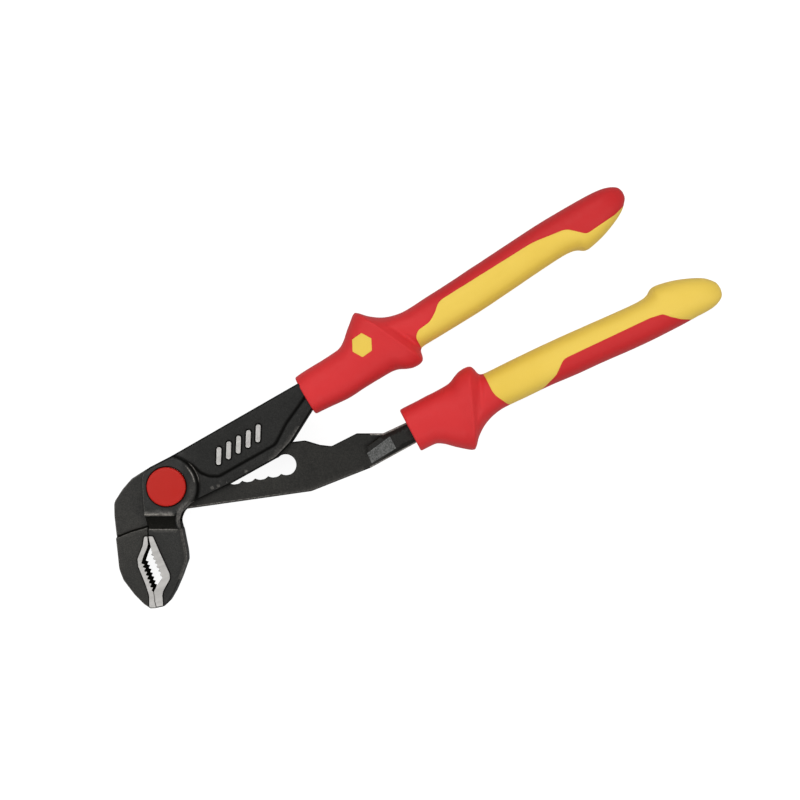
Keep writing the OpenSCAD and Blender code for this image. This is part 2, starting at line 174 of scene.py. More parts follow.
UO, UA = np.array([79.7, 51.1]), math.radians(32.8)     # upper grip: guard peak station, direction
LO_, LA = np.array([108.7, 29.2]), math.radians(25.5)   # lower grip, turned over about its own length


def upper_xy(s, t):
    return [UO[0] + s * math.cos(UA) - t * math.sin(UA), UO[1] + s * math.sin(UA) + t * math.cos(UA)]


def lower_xy(s, t):
    return [LO_[0] + s * math.cos(LA) + t * math.sin(LA), LO_[1] + s * math.sin(LA) - t * math.cos(LA)]


RACK_DIR = math.radians(10.2)
CU = np.array([math.cos(RACK_DIR), math.sin(RACK_DIR)])
CN = np.array([-math.sin(RACK_DIR), math.cos(RACK_DIR)])
right_edge = [[-7.3, -15.4, 0], [-7.2, -19.3, 0], [-6.6, -22.0, 1.5], [-6.1, -24.2, 1]] + teeth([-5.9, -24.8], [-1.9, -34.0], 6, -0.7) + \
    [[-1.9, -34.2, 0.25], [-4.3, -37.8, 1.5], [-5.2, -39.7, 0.8], [-4.75, -43.5, 0], [-4.2, -45.9, 0.2]]
left_edge = [[-7.7, -15.4, 0], [-7.6, -19.3, 0], [-7.4, -22.0, 0.8], [-7.9, -23.6, 1.5], [-9.0, -26.2, 1.5], [-9.8, -28.7, 0.2]] + \
    teeth([-9.8, -28.9], [-6.0, -39.2], 7, 0.7) + [[-6.0, -39.2, 0], [-5.35, -39.8, 0.3], [-4.9, -43.5, 0], [-4.35, -46.0, 0.2]]
right_back = [[-1.4, -45.3, 0.6], [0.3, -43.6, 1], [2.4, -40.0, 6], [5.0, -34.1, 12], [7.2, -28.0, 4], [6.9, -24.6, 14], [5.3, -16.6, 3]]
left_back = [[-6.6, -46.1, 0.6], [-9.0, -44.5, 3], [-12.6, -40.9, 9], [-16.8, -35.4, 5], [-18.4, -31.2, 8], [-19.1, -24.4, 20],
             [-20.6, -11.4, 10], [-20.7, -6.2, 4], [-17.6, -1.4, 6], [-15.4, 1.2, 4], [-13.9, 2.8, 4], [-9.2, 5.8, 4]]
box_left = [[-7.8, -15.0, 0.4], [-8.6, -9.4, 6], [-9.1, -4.0, 6], [-9.3, 3.4, 2.4], [-8.6, 5.7, 1.5]]
LEVER = soft(right_edge + right_back +
             [[4.2, -12.9, 4], [5.2, -9.9, 3], [8.9, -6.3, 2], [22.8, 0.5, 20], [40.9, 10.55, 2], [46.7, 16.7, 10],
              upper_xy(-32.2, -4.4), upper_xy(-32.2, 6.2), [0.2, 10.7, 6], [-6.5, 7.25, 8]] + box_left[::-1])
P1, P2 = 8.1 * CN - 6 * CU, 8.1 * CN + 47.5 * CU
RACK = soft(left_back + [[P1[0], P1[1], 3], [P2[0], P2[1], 3], [51.3, 17.1, 3], [57.0, 15.4, 3], [61.4, 14.9, 2], [71.0, 19.8, 2],
                         [81.1, 19.8, 0.3], lower_xy(-18.4, -3.34), lower_xy(-18.4, 5.07), [76.5, 6.9, 3], [54.0, -2.0, 3], [7.3, -8.6, 0], [-7.45, -10.7, 2.5]] + left_edge)
LAND_R = soft([[-14, -18.9], [-5.6, -18.85, 0.7], [-3.1, -24.6, 8], [0.7, -32.9, 1.5], [0.9, -34.8, 1.5], [-1.7, -39.5, 3], [-2.0, -41.1, 3],
               [-1.3, -50], [-14, -50]])
LAND_L = soft([[0, -18.95], [-8.9, -18.9, 0.7], [-9.4, -22.4, 2], [-11.4, -27.4, 2], [-11.1, -30.2, 2], [-8.4, -36.8, 8], [-7.0, -41.1, 3],
               [-6.9, -50], [0, -50]])
PANEL = soft([[2, 10], [6.5, 9.4], [9.3, 8.1, 2], [12.6, 5.0, 5], [16.0, 3.75, 3.0], [19.4, 3.75, 2.4], [40.6, 15.7, 4.5], [44.8, 23.8, 9], [53.0, 35.2], [60, 45], [10, 60], [0.4, 11]])
JAW_L = soft([[-30, -60], [0, -60], [0, -14.8], [-7.0, -15.3], [-13.5, -17.1, 16], [-19.7, -19.6], [-30, -23.6]])


# ------------------------------------------------------------------ forged sheets: a closed 2.5D solid with rounded rims
def forge(name, outline, holes, height, rings, gap=0.38, grid=0.8, rim=(0.03, 0.09, 0.18, 0.32, 0.5, 0.75), attrs=None):
    """A closed solid |z| <= height(x, y) over an outline with holes, densely meshed along every ring."""
    pts, edges = [], []

    def add(run, closed):
        base = len(pts)
        pts.extend([tuple(p) for p in run])
        k = len(run)
        edges.extend([(base + i, base + i + 1) for i in range(k - 1)])
        if closed:
            edges.append((base + k - 1, base))

    def add_masked(Q, ok, lim):
        n = len(Q)
        for i in range(n):
            if ok[i]:
                pts.append(tuple(Q[i]))
        idx = {}
        base = len(pts) - int(ok.sum())
        c = 0
        for i in range(n):
            if ok[i]:
                idx[i] = base + c
                c += 1
        for i in range(n):
            j = (i + 1) % n
            if ok[i] and ok[j] and np.linalg.norm(Q[i] - Q[j]) < lim:
                edges.append((idx[i], idx[j]))

    loops = [resample(outline, gap)] + [resample(h, min(gap, 0.35)) for h in holes]
    for L in loops:
        add(L, True)
    allb = np.vstack(loops)

    def dom(Q):
        ok = inside(Q, loops[0])
        for h in loops[1:]:
            ok &= ~inside(Q, h)
        return ok

    for L, sgn in [(loops[0], 1)] + [(h, -1) for h in loops[1:]]:
        for off in (rim if sgn > 0 else (0.03, 0.09, 0.2, 0.35)):
            Q, ok = ring(L, off * sgn, gap)
            add_masked(Q, ok & dom(Q), gap * 2.2)
    for poly, offs in rings:
        for off in offs:
            Q, ok = ring(poly, off, gap) if abs(off) > 1e-9 else (resample(poly, gap), None)
            if ok is None:
                ok = np.ones(len(Q), bool)
            ok = ok & dom(Q)
            db = dist(Q, allb[:len(loops[0])])
            ok &= db > 0.02
            add_masked(Q, ok, gap * 2.2)
    P = np.array(pts)
    lo, hi = outline.min(0), outline.max(0)
    gx, gy = np.meshgrid(np.arange(lo[0], hi[0], grid), np.arange(lo[1], hi[1], grid * 0.87))
    gx = gx + (np.arange(gx.shape[0]) % 2)[:, None] * grid / 2
    G = np.stack([gx.ravel(), gy.ravel()], 1)
    G = G[dom(G)]
    # leave out fill points that sit close to a ring point
    cell = grid * 0.55
    seen = set()
    for p in P:
        ix, iy = int(math.floor(p[0] / cell)), int(math.floor(p[1] / cell))
        for a in (-1, 0, 1):
            for b in (-1, 0, 1):
                seen.add((ix + a, iy + b))
    G = np.array([g for g in G if (int(math.floor(g[0] / cell)), int(math.floor(g[1] / cell))) not in seen]).reshape(-1, 2)
    pts += [tuple(g) for g in G]
    V, E, F, *_ = delaunay_2d_cdt([Vector(p) for p in pts], edges, [], 0, 1e-5)
    V = np.array([(v.x, v.y) for v in V])
    F = np.array([f for f in F if len(f) == 3])
    c = V[F].mean(1)
    F = F[dom(c)]
    a = (V[F[:, 1]] - V[F[:, 0]])
    b = (V[F[:, 2]] - V[F[:, 0]])
    ar = a[:, 0] * b[:, 1] - a[:, 1] * b[:, 0]
    F = F[np.abs(ar) > 1e-9]
    ar = ar[np.abs(ar) > 1e-9]
    F[ar < 0] = F[ar < 0][:, ::-1]
    used = np.unique(F)
    remap = -np.ones(len(V), int)
    remap[used] = np.arange(len(used))
    V, F = V[used], remap[F]
    zt, zb = height(V, 1), height(V, -1)
    n = len(V)
    # boundary edges of the sheet
    ed = np.vstack([F[:, [0, 1]], F[:, [1, 2]], F[:, [2, 0]]])
    key = {}
    for i, j in ed:
        key[(i, j)] = key.get((i, j), 0) + 1
    rimE = [(i, j) for (i, j) in key if (j, i) not in key]
    verts = np.vstack([np.column_stack([V, zt + ZM]), np.column_stack([V, ZM - zb])]) * MM
    faces = [tuple(f) for f in F] + [tuple(int(x) + n for x in f[::-1]) for f in F] + [(j, i, i + n, j + n) for i, j in rimE]
    me = bpy.data.meshes.new(name)
    me.from_pydata([tuple(v) for v in verts], [], [tuple(int(x) for x in f) for f in faces])
    me.update()
    ob = bpy.data.objects.new(name, me)
    bpy.context.scene.collection.objects.link(ob)
    return ob


def edit(ob):
    bm = bmesh.new()
    bm.from_mesh(ob.data)
    return bm


def keep_edit(bm, ob):
    bm.to_mesh(ob.data)
    bm.free()
    ob.data.update()


def shade(ob, deg=32):
    bm = edit(ob)
    bmesh.ops.recalc_face_normals(bm, faces=bm.faces[:])
    lim = math.radians(deg)
    for f in bm.faces:
        f.smooth = True
    for e in bm.edges:
        e.smooth = len(e.link_faces) == 2 and e.calc_face_angle(0.0) < lim
    keep_edit(bm, ob)


def prism(name, poly, z0, z1):
    """A plain prism, used only as a cutter."""
    n = len(poly)
    v = [(p[0] * MM, p[1] * MM, z0 * MM) for p in poly] + [(p[0] * MM, p[1] * MM, z1 * MM) for p in poly]
    f = [tuple(range(n))[::-1], tuple(range(n, 2 * n))] + [(i, (i + 1) % n, (i + 1) % n + n, i + n) for i in range(n)]
    me = bpy.data.meshes.new(name)
    me.from_pydata(v, [], f)
    ob = bpy.data.objects.new(name, me)
    bpy.context.scene.collection.objects.link(ob)
    bm = edit(ob)
    bmesh.ops.recalc_face_normals(bm, faces=bm.faces[:])
    keep_edit(bm, ob)
    return ob


def disc(r, n=144, c=(0, 0)):
    a = np.linspace(0, 2 * math.pi, n, endpoint=False)
    return np.stack([c[0] + r * np.cos(a), c[1] + r * np.sin(a)], 1)


def carve(ob, *cutters, op="DIFFERENCE"):
    for c in cutters:
        m = ob.modifiers.new("cut", "BOOLEAN")
        m.operation, m.object, m.solver = op, c, "EXACT"
        dg = bpy.context.evaluated_depsgraph_get()
        me = bpy.data.meshes.new_from_object(ob.evaluated_get(dg))
        ob.modifiers.clear()
        old = ob.data
        ob.data = me
        bpy.data.meshes.remove(old)
        bpy.data.objects.remove(c)
    me.name = ob.name
    return ob


# ------------------------------------------------------------------ materials, all procedural
def srgb(r, g, b):
    return tuple((c / 255 / 12.92) if c / 255 <= 0.04045 else ((c / 255 + 0.055) / 1.055) ** 2.4 for c in (r, g, b)) + (1.0,)


class Mat:
    """A small helper to wire a material's nodes."""

    def __init__(self, name):
        self.m = bpy.data.materials.new(name)
        self.m.use_nodes = True
        self.t = self.m.node_tree
        self.bsdf = self.t.nodes["Principled BSDF"]
        co = self.t.nodes.new("ShaderNodeTexCoord")
        self.co = co.outputs["Object"]

    def node(self, kind, **kw):
        n = self.t.nodes.new(kind)
        for k, v in kw.items():
            setattr(n, k, v)
        return n

    def link(self, a, b):
        self.t.links.new(a, b)

    def noise(self, scale, detail=4.0, rough=0.6, stretch=None, spin=0.0):
        n = self.node("ShaderNodeTexNoise")
        n.inputs["Scale"].default_value = scale
        n.inputs["Detail"].default_value = detail
        n.inputs["Roughness"].default_value = rough
        if stretch:
            mp = self.node("ShaderNodeMapping")
            mp.inputs["Scale"].default_value = stretch
            mp.inputs["Rotation"].default_value = (0, 0, spin)
            mp.vector_type = "TEXTURE"
            self.link(self.co, mp.inputs["Vector"])
            self.link(mp.outputs["Vector"], n.inputs["Vector"])
        else:
            self.link(self.co, n.inputs["Vector"])
        return n.outputs["Fac"]

    def ramp(self, src, a, b, lo=0.0, hi=1.0):
        n = self.node("ShaderNodeMapRange")
        n.interpolation_type = "SMOOTHSTEP"
        n.inputs["From Min"].default_value = a
        n.inputs["From Max"].default_value = b
        n.inputs["To Min"].default_value = lo
        n.inputs["To Max"].default_value = hi
        self.link(src, n.inputs["Value"])
        return n.outputs["Result"]

    def math(self, op, a, b=None):
        n = self.node("ShaderNodeMath", operation=op)
        for i, v in enumerate((a, b)):
            if v is None:
                continue
            if isinstance(v, (int, float)):
                n.inputs[i].default_value = v
            else:
                self.link(v, n.inputs[i])
        return n.outputs["Value"]

    def mix(self, f, a, b):
        n = self.node("ShaderNodeMix", data_type="RGBA")
        for sock, v in ((n.inputs[0], f), (n.inputs[6], a), (n.inputs[7], b)):
            if isinstance(v, (int, float, tuple)):
                sock.default_value = v
            else:
                self.link(v, sock)
        return n.outputs[2]

    def bump(self, *pairs):
        prev = None
        for src, strength, depth in pairs:
            n = self.node("ShaderNodeBump")
            n.inputs["Strength"].default_value = strength
            n.inputs["Distance"].default_value = depth
            self.link(src, n.inputs["Height"])
            if prev is not None:
                self.link(prev, n.inputs["Normal"])
            prev = n.outputs["Normal"]
        self.link(prev, self.bsdf.inputs["Normal"])

    def set(self, **kw):
        for k, v in kw.items():
            s = self.bsdf.inputs[k.replace("_", " ")]
            if isinstance(v, (int, float, tuple)):
                s.default_value = v
            else:
                self.link(v, s)
        return self

    def pointy(self):
        return self.node("ShaderNodeNewGeometry").outputs["Pointiness"]


def black_steel(name, dark, light, wear_and_highlight=1.0, rough=(0.42, 0.58), spec=0.30):
    m = Mat(name)
    broad = m.ramp(m.noise(55, 5, 0.65), 0.32, 0.70)
    grain = m.noise(2300, 4, 0.75)
    speck = m.ramp(m.noise(2100, 2, 0.5), 0.69, 0.76)
    base = m.mix(broad, dark, light)
    tone = m.ramp(grain, 0.30, 0.70, 0.45, 1.85)
    sc = m.node("ShaderNodeVectorMath", operation="SCALE")
    m.link(base, sc.inputs[0])
    m.link(tone, sc.inputs["Scale"])
    base = m.mix(m.math("MULTIPLY", speck, 0.16), sc.outputs[0], (0.34, 0.32, 0.29, 1))
    # wear_and_highlight attribute: a lighter, partly metallic colour on rubbed edges and painted highlights on edges
    # turned to the lamps
    edge = m.node("ShaderNodeAttribute", attribute_name="wear_and_highlight").outputs["Fac"]
    worn_and_lit = m.math("MULTIPLY", edge, m.ramp(m.noise(1300, 4, 0.75), 0.40, 0.60, 0.35, 1.0))
    # painted_shade attribute: painted shade, pushing base colour and specular towards black in hollows, moats, the
    # valley, edges turned from the lamps and inside the joint
    painted_shade_fac = m.node("ShaderNodeAttribute", attribute_name="painted_shade").outputs["Fac"]
    base = m.mix(m.math("MULTIPLY", painted_shade_fac, 0.92), base, (0.0012, 0.0012, 0.0010, 1))
    base = m.mix(m.math("MULTIPLY", worn_and_lit, wear_and_highlight), base, (0.43, 0.405, 0.37, 1))
    m.set(Base_Color=base, Metallic=m.math("MULTIPLY", edge, 0.4), Roughness=m.ramp(m.noise(700, 4, 0.6), 0.3, 0.7, rough[0], rough[1]))
    m.link(m.math("MULTIPLY", m.math("SUBTRACT", 1.0, m.math("MULTIPLY", painted_shade_fac, 0.88)), spec), m.bsdf.inputs["Specular IOR Level"])
    m.bump((m.noise(950, 4, 0.6), 0.25, 0.00010), (grain, 0.35, 0.00006))
    # painted shade: where that attribute is near full, on the walls inside the joint and the pipe recess, a near-black
    # matte diffuse sheet with no sheen at all stands in for the shade
    painted_shade_bsdf = m.node("ShaderNodeBsdfDiffuse")
    m.link(m.mix(m.ramp(grain, 0.3, 0.7), (0.0060, 0.0060, 0.0052, 1), (0.0170, 0.0163, 0.0140, 1)), painted_shade_bsdf.inputs["Color"])
    both = m.node("ShaderNodeMixShader")
    m.link(m.ramp(painted_shade_fac, 0.955, 0.995), both.inputs[0])
    m.link(m.bsdf.outputs[0], both.inputs[1])
    m.link(painted_shade_bsdf.outputs[0], both.inputs[2])
    m.link(both.outputs[0], m.t.nodes["Material Output"].inputs["Surface"])
    return m.m


def bright_steel(name, col, spin, rough=0.34, metal=0.85):
    m = Mat(name)
    lines = m.noise(900, 3, 0.6, stretch=(14.0, 1.0, 1.0), spin=spin)
    cloud = m.ramp(m.noise(260, 3, 0.5), 0.35, 0.7)
    a = tuple(c * 0.93 for c in col[:3]) + (1,)
    base = m.mix(m.ramp(lines, 0.35, 0.68), a, col)
    base = m.mix(m.math("MULTIPLY", cloud, 0.18), base, tuple(c * 0.86 for c in col[:3]) + (1,))
    m.set(Base_Color=base, Metallic=metal, Roughness=m.ramp(lines, 0.3, 0.7, rough - 0.06, rough + 0.12))
    m.bump((lines, 0.22, 0.00004), (m.noise(3000, 2, 0.5), 0.12, 0.00003))
    return m.m


def ramp_steel(name):
    m = Mat(name)
    lines = m.noise(2200, 4, 0.7, stretch=(1.0, 1.8, 1.0), spin=math.radians(30))
    base = m.mix(m.ramp(lines, 0.34, 0.68), (0.034, 0.035, 0.033, 1), (0.150, 0.152, 0.148, 1))
    m.set(Base_Color=base, Metallic=0.25, Roughness=m.ramp(lines, 0.3, 0.7, 0.36, 0.55))
    m.bump((lines, 0.35, 0.00006))
    return m.m


def moulded(name, col, deep, rough=0.5, grain=0.16, sheen=0.05, spec=0.34):
    m = Mat(name)
    cloud = m.ramp(m.noise(26, 4, 0.55), 0.30, 0.72)
    fine = m.noise(2300, 3, 0.6)
    pores = m.noise(5200, 2, 0.5)
    base = m.mix(m.math("MULTIPLY", cloud, 0.55), col, deep)
    base = m.mix(m.math("MULTIPLY", m.ramp(fine, 0.35, 0.75), 0.14), base, deep)
    # tone attribute: painted shade, turning the colour to a deeper red where it is set
    tone = m.node("ShaderNodeAttribute", attribute_name="tone").outputs["Fac"]
    base = m.mix(tone, base, (deep[0] * 0.92, deep[1] * 0.78, deep[2] * 0.80, 1))
    m.set(Base_Color=base, Roughness=m.ramp(m.noise(480, 4, 0.6), 0.3, 0.7, rough - 0.05, rough + 0.09))
    m.bsdf.inputs["Specular IOR Level"].default_value = spec
    m.bsdf.inputs["Sheen Weight"].default_value = sheen
    m.bsdf.inputs["Sheen Roughness"].default_value = 0.5
    m.bump((fine, grain, 0.00009), (pores, grain * 0.6, 0.00004))
    return m.m


MAT_BLACK = black_steel("blackened_steel", (0.0110, 0.0110, 0.0098, 1), (0.0165, 0.0164, 0.0148, 1))
MAT_RACK = black_steel("blackened_plate", (0.0150, 0.0144, 0.0124, 1), (0.0225, 0.0214, 0.0182, 1))
MAT_LAND = bright_steel("ground_steel", (0.54, 0.525, 0.505, 1), math.radians(20), metal=0.35)
MAT_RAMP = ramp_steel("brushed_ramp")
MAT_PIN = bright_steel("turned_steel", (0.42, 0.42, 0.41, 1), 0.0, rough=0.30, metal=1.0)
MAT_SPRING = bright_steel("spring_wire", (0.46, 0.45, 0.42, 1), 0.6, rough=0.28, metal=1.0)
MAT_BUTTON = moulded("button_plastic", srgb(187, 32, 22), srgb(178, 27, 19), rough=0.38, grain=0.10, sheen=0.0, spec=0.22)
MAT_RED = moulded("grip_plastic_red", srgb(216, 46, 49), srgb(203, 38, 41), spec=0.24)
MAT_YELLOW = moulded("grip_plastic_yellow", srgb(239, 205, 88), srgb(230, 193, 70), spec=0.22)


def give(ob, *mats):
    ob.data.materials.clear()
    for m in mats:
        ob.data.materials.append(m)


def paint(ob, rule):
    """Material index of each face from a rule on the face centres and normals, in mm."""
    n = len(ob.data.polygons)
    c = np.zeros(n * 3)
    nr = np.zeros(n * 3)
    ob.data.polygons.foreach_get("center", c)
    ob.data.polygons.foreach_get("normal", nr)
    idx = rule(c.reshape(-1, 3) / MM, nr.reshape(-1, 3))
    ob.data.polygons.foreach_set("material_index", idx.astype(np.int32))
    ob.data.update()


# ------------------------------------------------------------------ box lever
BAR_C = [(19.5 + 3.68 * i, 11.5 + 2.13 * i) for i in range(5)]


def bar_poly(c, grow=0.0):
    a = math.radians(88)
    u, v = np.array([math.cos(a), math.sin(a)]), np.array([-math.sin(a), math.cos(a)])
    L, W = 3.4 + grow, 0.95 + grow
    P = [np.array(c) + u * L + v * W, np.array(c) - u * L + v * W, np.array(c) - u * L - v * W, np.array(c) + u * L - v * W]
    return soft([[p[0], p[1], min(0.85, W * 0.9)] for p in P], 15)


BARS = [bar_poly(c) for c in BAR_C]


def split_mating(outline, mating, near=0.4):
    """The outline's own points that aren't on the mating edge, in order, as an open line."""
    d = dist(outline, np.array([p[:2] for p in mating], float), closed=False)
    m = d > near
    # rotate so that the run starts right after the mating part
    n = len(outline)
    start = next(i for i in range(n) if m[i] and not m[i - 1])
    idx = [(start + k) % n for k in range(n)]
    run = [idx[0] - 1]
    for i in idx:
        if m[i]:
            run.append(i)
    return outline[run]


LEVER_R = resample(LEVER, 0.5)
MATE_R = np.array([p[:2] for p in right_edge], float)
REST_R = split_mating(LEVER, right_edge)
MATE_L = np.array([p[:2] for p in left_edge], float)
REST_L = split_mating(RACK, left_edge)


def edge_gap(V, line, ends):
    """Distance to an open outline, leaving out the segments that end inside a grip."""
    A, B = line[:-1], line[1:]
    near = lambda P: dist(P, np.array(ends, float), closed=False) < 0.05
    keep = ~(near(A) & near(B))
    best = np.full(len(V), 1e9)
    for a, b in zip(A[keep], B[keep]):
        d = b - a
        L = d @ d
        if L > 1e-14:
            t = np.clip(((V - a) @ d) / L, 0, 1)
            q = V - (a + t[:, None] * d)
            best = np.minimum(best, q[:, 0] ** 2 + q[:, 1] ** 2)
    return np.sqrt(best)


END_R = [upper_xy(-32.2, -4.4), upper_xy(-32.2, 6.2)]
END_L = [lower_xy(-18.4, -3.34), lower_xy(-18.4, 5.07)]


def height_box(V, side):
    x, y = V[:, 0], V[:, 1]
    r = np.hypot(x, y)
    sp = sdist(V, PANEL)
    arm = 6.0 + 1.0 * sstep(sp, -0.45, 1.05) - 0.16 * np.exp(-((sp + 0.62) / 0.40) ** 2)
    # bars stand a little above the panel, each in a fine moat
    for b in BARS:
        sb = sdist(V, b)
        arm += 0.34 * sstep(sb, -0.06, 0.10) - 0.28 * np.exp(-((sb + 0.30) / 0.17) ** 2) - 0.05 * np.clip(1 - sb / 0.3, 0, 1) * (sb > 0.1)
    k = np.clip((r - 10.25) / 1.25, 0, 1)
    boss = 8.5 - 1.25 * (1 - np.sqrt(1 - k * k))
    foot = arm + 0.45 * np.clip(1 - (r - 11.8) / 0.9, 0, 1) ** 2 - 0.10 * np.exp(-((r - 12.0) / 0.25) ** 2)
    right = np.where(r < 11.5, boss, boss + (foot - boss) * sstep(r, 11.5, 11.85))
    # block with the scooped valley above the jaw
    y0, y1, zf = -10.75, -16.0, 4.35
    y0 = y0 + 0.9 * sstep(x, 1.2, 5.5)
    u = np.clip((y - y1) / (y0 - y1), 0, 1)
    p = 1.75
    g = 1 - (1 - u ** p) ** (1 / p)
    valley = zf + (8.3 - zf) * g - bump_edge(np.maximum(y - y0, 0), 0.5) * (y > y0)
    jaw = 5.05 - bump_edge(np.maximum(y1 - 0.15 - y, 0), 0.35)
    left = np.where(y > y1, valley, zf + (jaw - zf) * sstep(-y, -y1 - 0.02, -y1 + 0.16))
    left = left + 0.2 * sstep(-r, -11.3, -10.4) * sstep(y, -10.6, -10.0)
    sl = sdist(V, LAND_R)
    left = left + (0.2 * sstep(sl, -0.03, 0.05) - 0.16 * np.exp(-((sl + 0.24) / 0.13) ** 2) * (sl < 0)) * (y < -18.0)
    z = np.where((x > 0) & (y > -6.5) & ((r > 9) | (x > 4)), right, left)
    dr, dm = edge_gap(V, REST_R, END_R), dist(V, MATE_R, closed=False)
    fine = (x < -7.6) & (y > -15.6) & (y < 5)
    z = z - np.where(fine, bump_edge(dr, 0.45), bump_edge(dr, 0.95))
    # the flank carries a bevel, broad at the neck and narrower down the jaw
    flank = sstep(x, 1.0, 3.0) * sstep(-y, 5.2, 6.6) * sstep(y, -36, -32)
    wide = 1.0 + 0.42 * sstep(y, -17, -12)
    z = z - flank * (0.75 * np.clip(1 - dr / wide, 0, 1) + 0.16 * np.exp(-((dr - wide - 0.12) / 0.16) ** 2))
    z = z - bump_edge(dm, 0.12)
    return np.maximum(z, 1.0)


def lathe(name, prof, n=128, zoff=0.0):
    """A closed solid of revolution about the pin axis from a closed (r, z) profile in mm that starts and ends on the axis."""
    bm = bmesh.new()
    a = np.linspace(0, 2 * math.pi, n, endpoint=False)
    rows = []
    for r, z in prof:
        if r < 1e-6:
            rows.append([bm.verts.new((0, 0, (z + zoff) * MM))])
        else:
            rows.append([bm.verts.new((r * math.cos(t) * MM, r * math.sin(t) * MM, (z + zoff) * MM)) for t in a])
    for A, B in zip(rows[:-1], rows[1:]):
        for i in range(n):
            j = (i + 1) % n
            if len(A) == 1:
                bm.faces.new((A[0], B[i], B[j]))
            elif len(B) == 1:
                bm.faces.new((A[i], B[0], A[j]))
            else:
                bm.faces.new((A[i], B[i], B[j], A[j]))
    bmesh.ops.recalc_face_normals(bm, faces=bm.faces[:])
    me = bpy.data.meshes.new(name)
    bm.to_mesh(me)
    bm.free()
    ob = bpy.data.objects.new(name, me)
    bpy.context.scene.collection.objects.link(ob)
    return ob


def pol(a):
    return np.array([math.cos(math.radians(a)), math.sin(math.radians(a))])


def passage():
    up, lo, opn, d = 8.3, 10.9, 31.0, 10.2
    P_up = np.array([up * CN + 120 * CU, up / math.cos(math.radians(opn / 2)) * pol(d + 90 - opn / 2),
                     up * pol(d + 90 - opn) - 40 * pol(d - opn), [-30, 90], [120, 90]])
    P_lo = np.array([lo / math.cos(math.radians(opn / 2)) * pol(d - 92.1 - opn / 2), lo * pol(d - 92.1 - opn) + 30 * pol(d - 2.1 - opn),
                     [25, -60], [-7.3, -60], [-7.3, -12.8]])
    big = prism("cut_room", np.array([[-60, -60], [100, -60], [100, 60], [-60, 60.0]]), ZM - 3.1, ZM + 3.1)
    return carve(big, prism("cut_up", P_up, -10, 30), prism("cut_lo", P_lo, -10, 30))


lever = forge("box_lever_forging", LEVER, [],
              height_box,
              [(PANEL, (-1.2, -0.95, -0.75, -0.55, -0.4, -0.25, -0.1, 0.05, 0.2, 0.35, 0.5, 0.65, 0.85)),
               (LAND_R, (-0.45, -0.34, -0.24, -0.14, -0.03, 0.05, 0.2)),
               (disc(10.25), (0.0,)), (disc(10.6), (0.0,)), (disc(10.9), (0.0,)), (disc(11.15), (0.0,)), (disc(11.35), (0.0,)), (disc(11.5), (0.0,)),
               (disc(11.6), (0.0,)), (disc(11.72), (0.0,)), (disc(11.85), (0.0,)), (disc(12.05), (0.0,)), (disc(12.3), (0.0,)), (disc(12.7), (0.0,))] +
              [(b, (-0.5, -0.38, -0.26, -0.14, -0.06, 0.02, 0.10, 0.22)) for b in BARS] +
              [(np.array([[-9.5, v], [5.6, v], [5.6, v - 0.001]]), (0.0,)) for v in
               (-10.2, -10.35, -10.5, -10.62, -10.75, -10.82, -10.92, -11.05, -11.25, -11.5, -11.8, -12.2, -12.7, -13.3, -13.9, -14.5, -15.1, -15.6, -16.0, -16.06, -16.12, -16.2, -16.32, -16.5)],
              gap=0.42, grid=0.9, rim=(0.02, 0.06, 0.12, 0.22, 0.36, 0.54, 0.75, 0.95))
carve(lever, passage(), prism("cut_bore", disc(4.0, 96), -5, 30),
      lathe("cut_seat", [(0, 12.5), (7.55, 12.5), (7.55, 16.72), (7.66, 16.86), (7.86, 17.05), (7.86, 22), (0, 22)]),
      lathe("cut_rear", [(0, -5), (5.95, -5), (5.95, 0.0), (5.6, 0.3), (5.6, 1.4), (0, 1.4)], 96))
shade(lever, 30)
give(lever, MAT_BLACK, MAT_LAND)


def paint_box(c, n):
    P = c[:, :2]
    face = np.abs(n[:, 2]) > 0.8
    land = face & (sdist(P, LAND_R) > 0.0) & (c[:, 1] < -18) & (np.abs(c[:, 2] - ZM) > 5.1)
    for b in BARS:
        land |= face & (sdist(P, b) > 0.06) & (np.abs(c[:, 2] - ZM) > 7.05)
    return land.astype(int)


paint(lever, paint_box)


# Writes a per-vertex float attribute from a rule on the vertex positions in mm: the wear and painted highlight by
# default, also the painted shade and the grip tone.
def wear_and_highlight(ob, rule, name="wear_and_highlight"):
    n = len(ob.data.vertices)
    co = np.zeros(n * 3)
    ob.data.vertices.foreach_get("co", co)
    co = co.reshape(-1, 3) / MM
    at = ob.data.attributes.get(name) or ob.data.attributes.new(name, "FLOAT", "POINT")
    at.data.foreach_set("value", np.clip(rule(co), 0, 1).astype(np.float32))


def bell(v, w):
    return np.exp(-(v / w) ** 2)
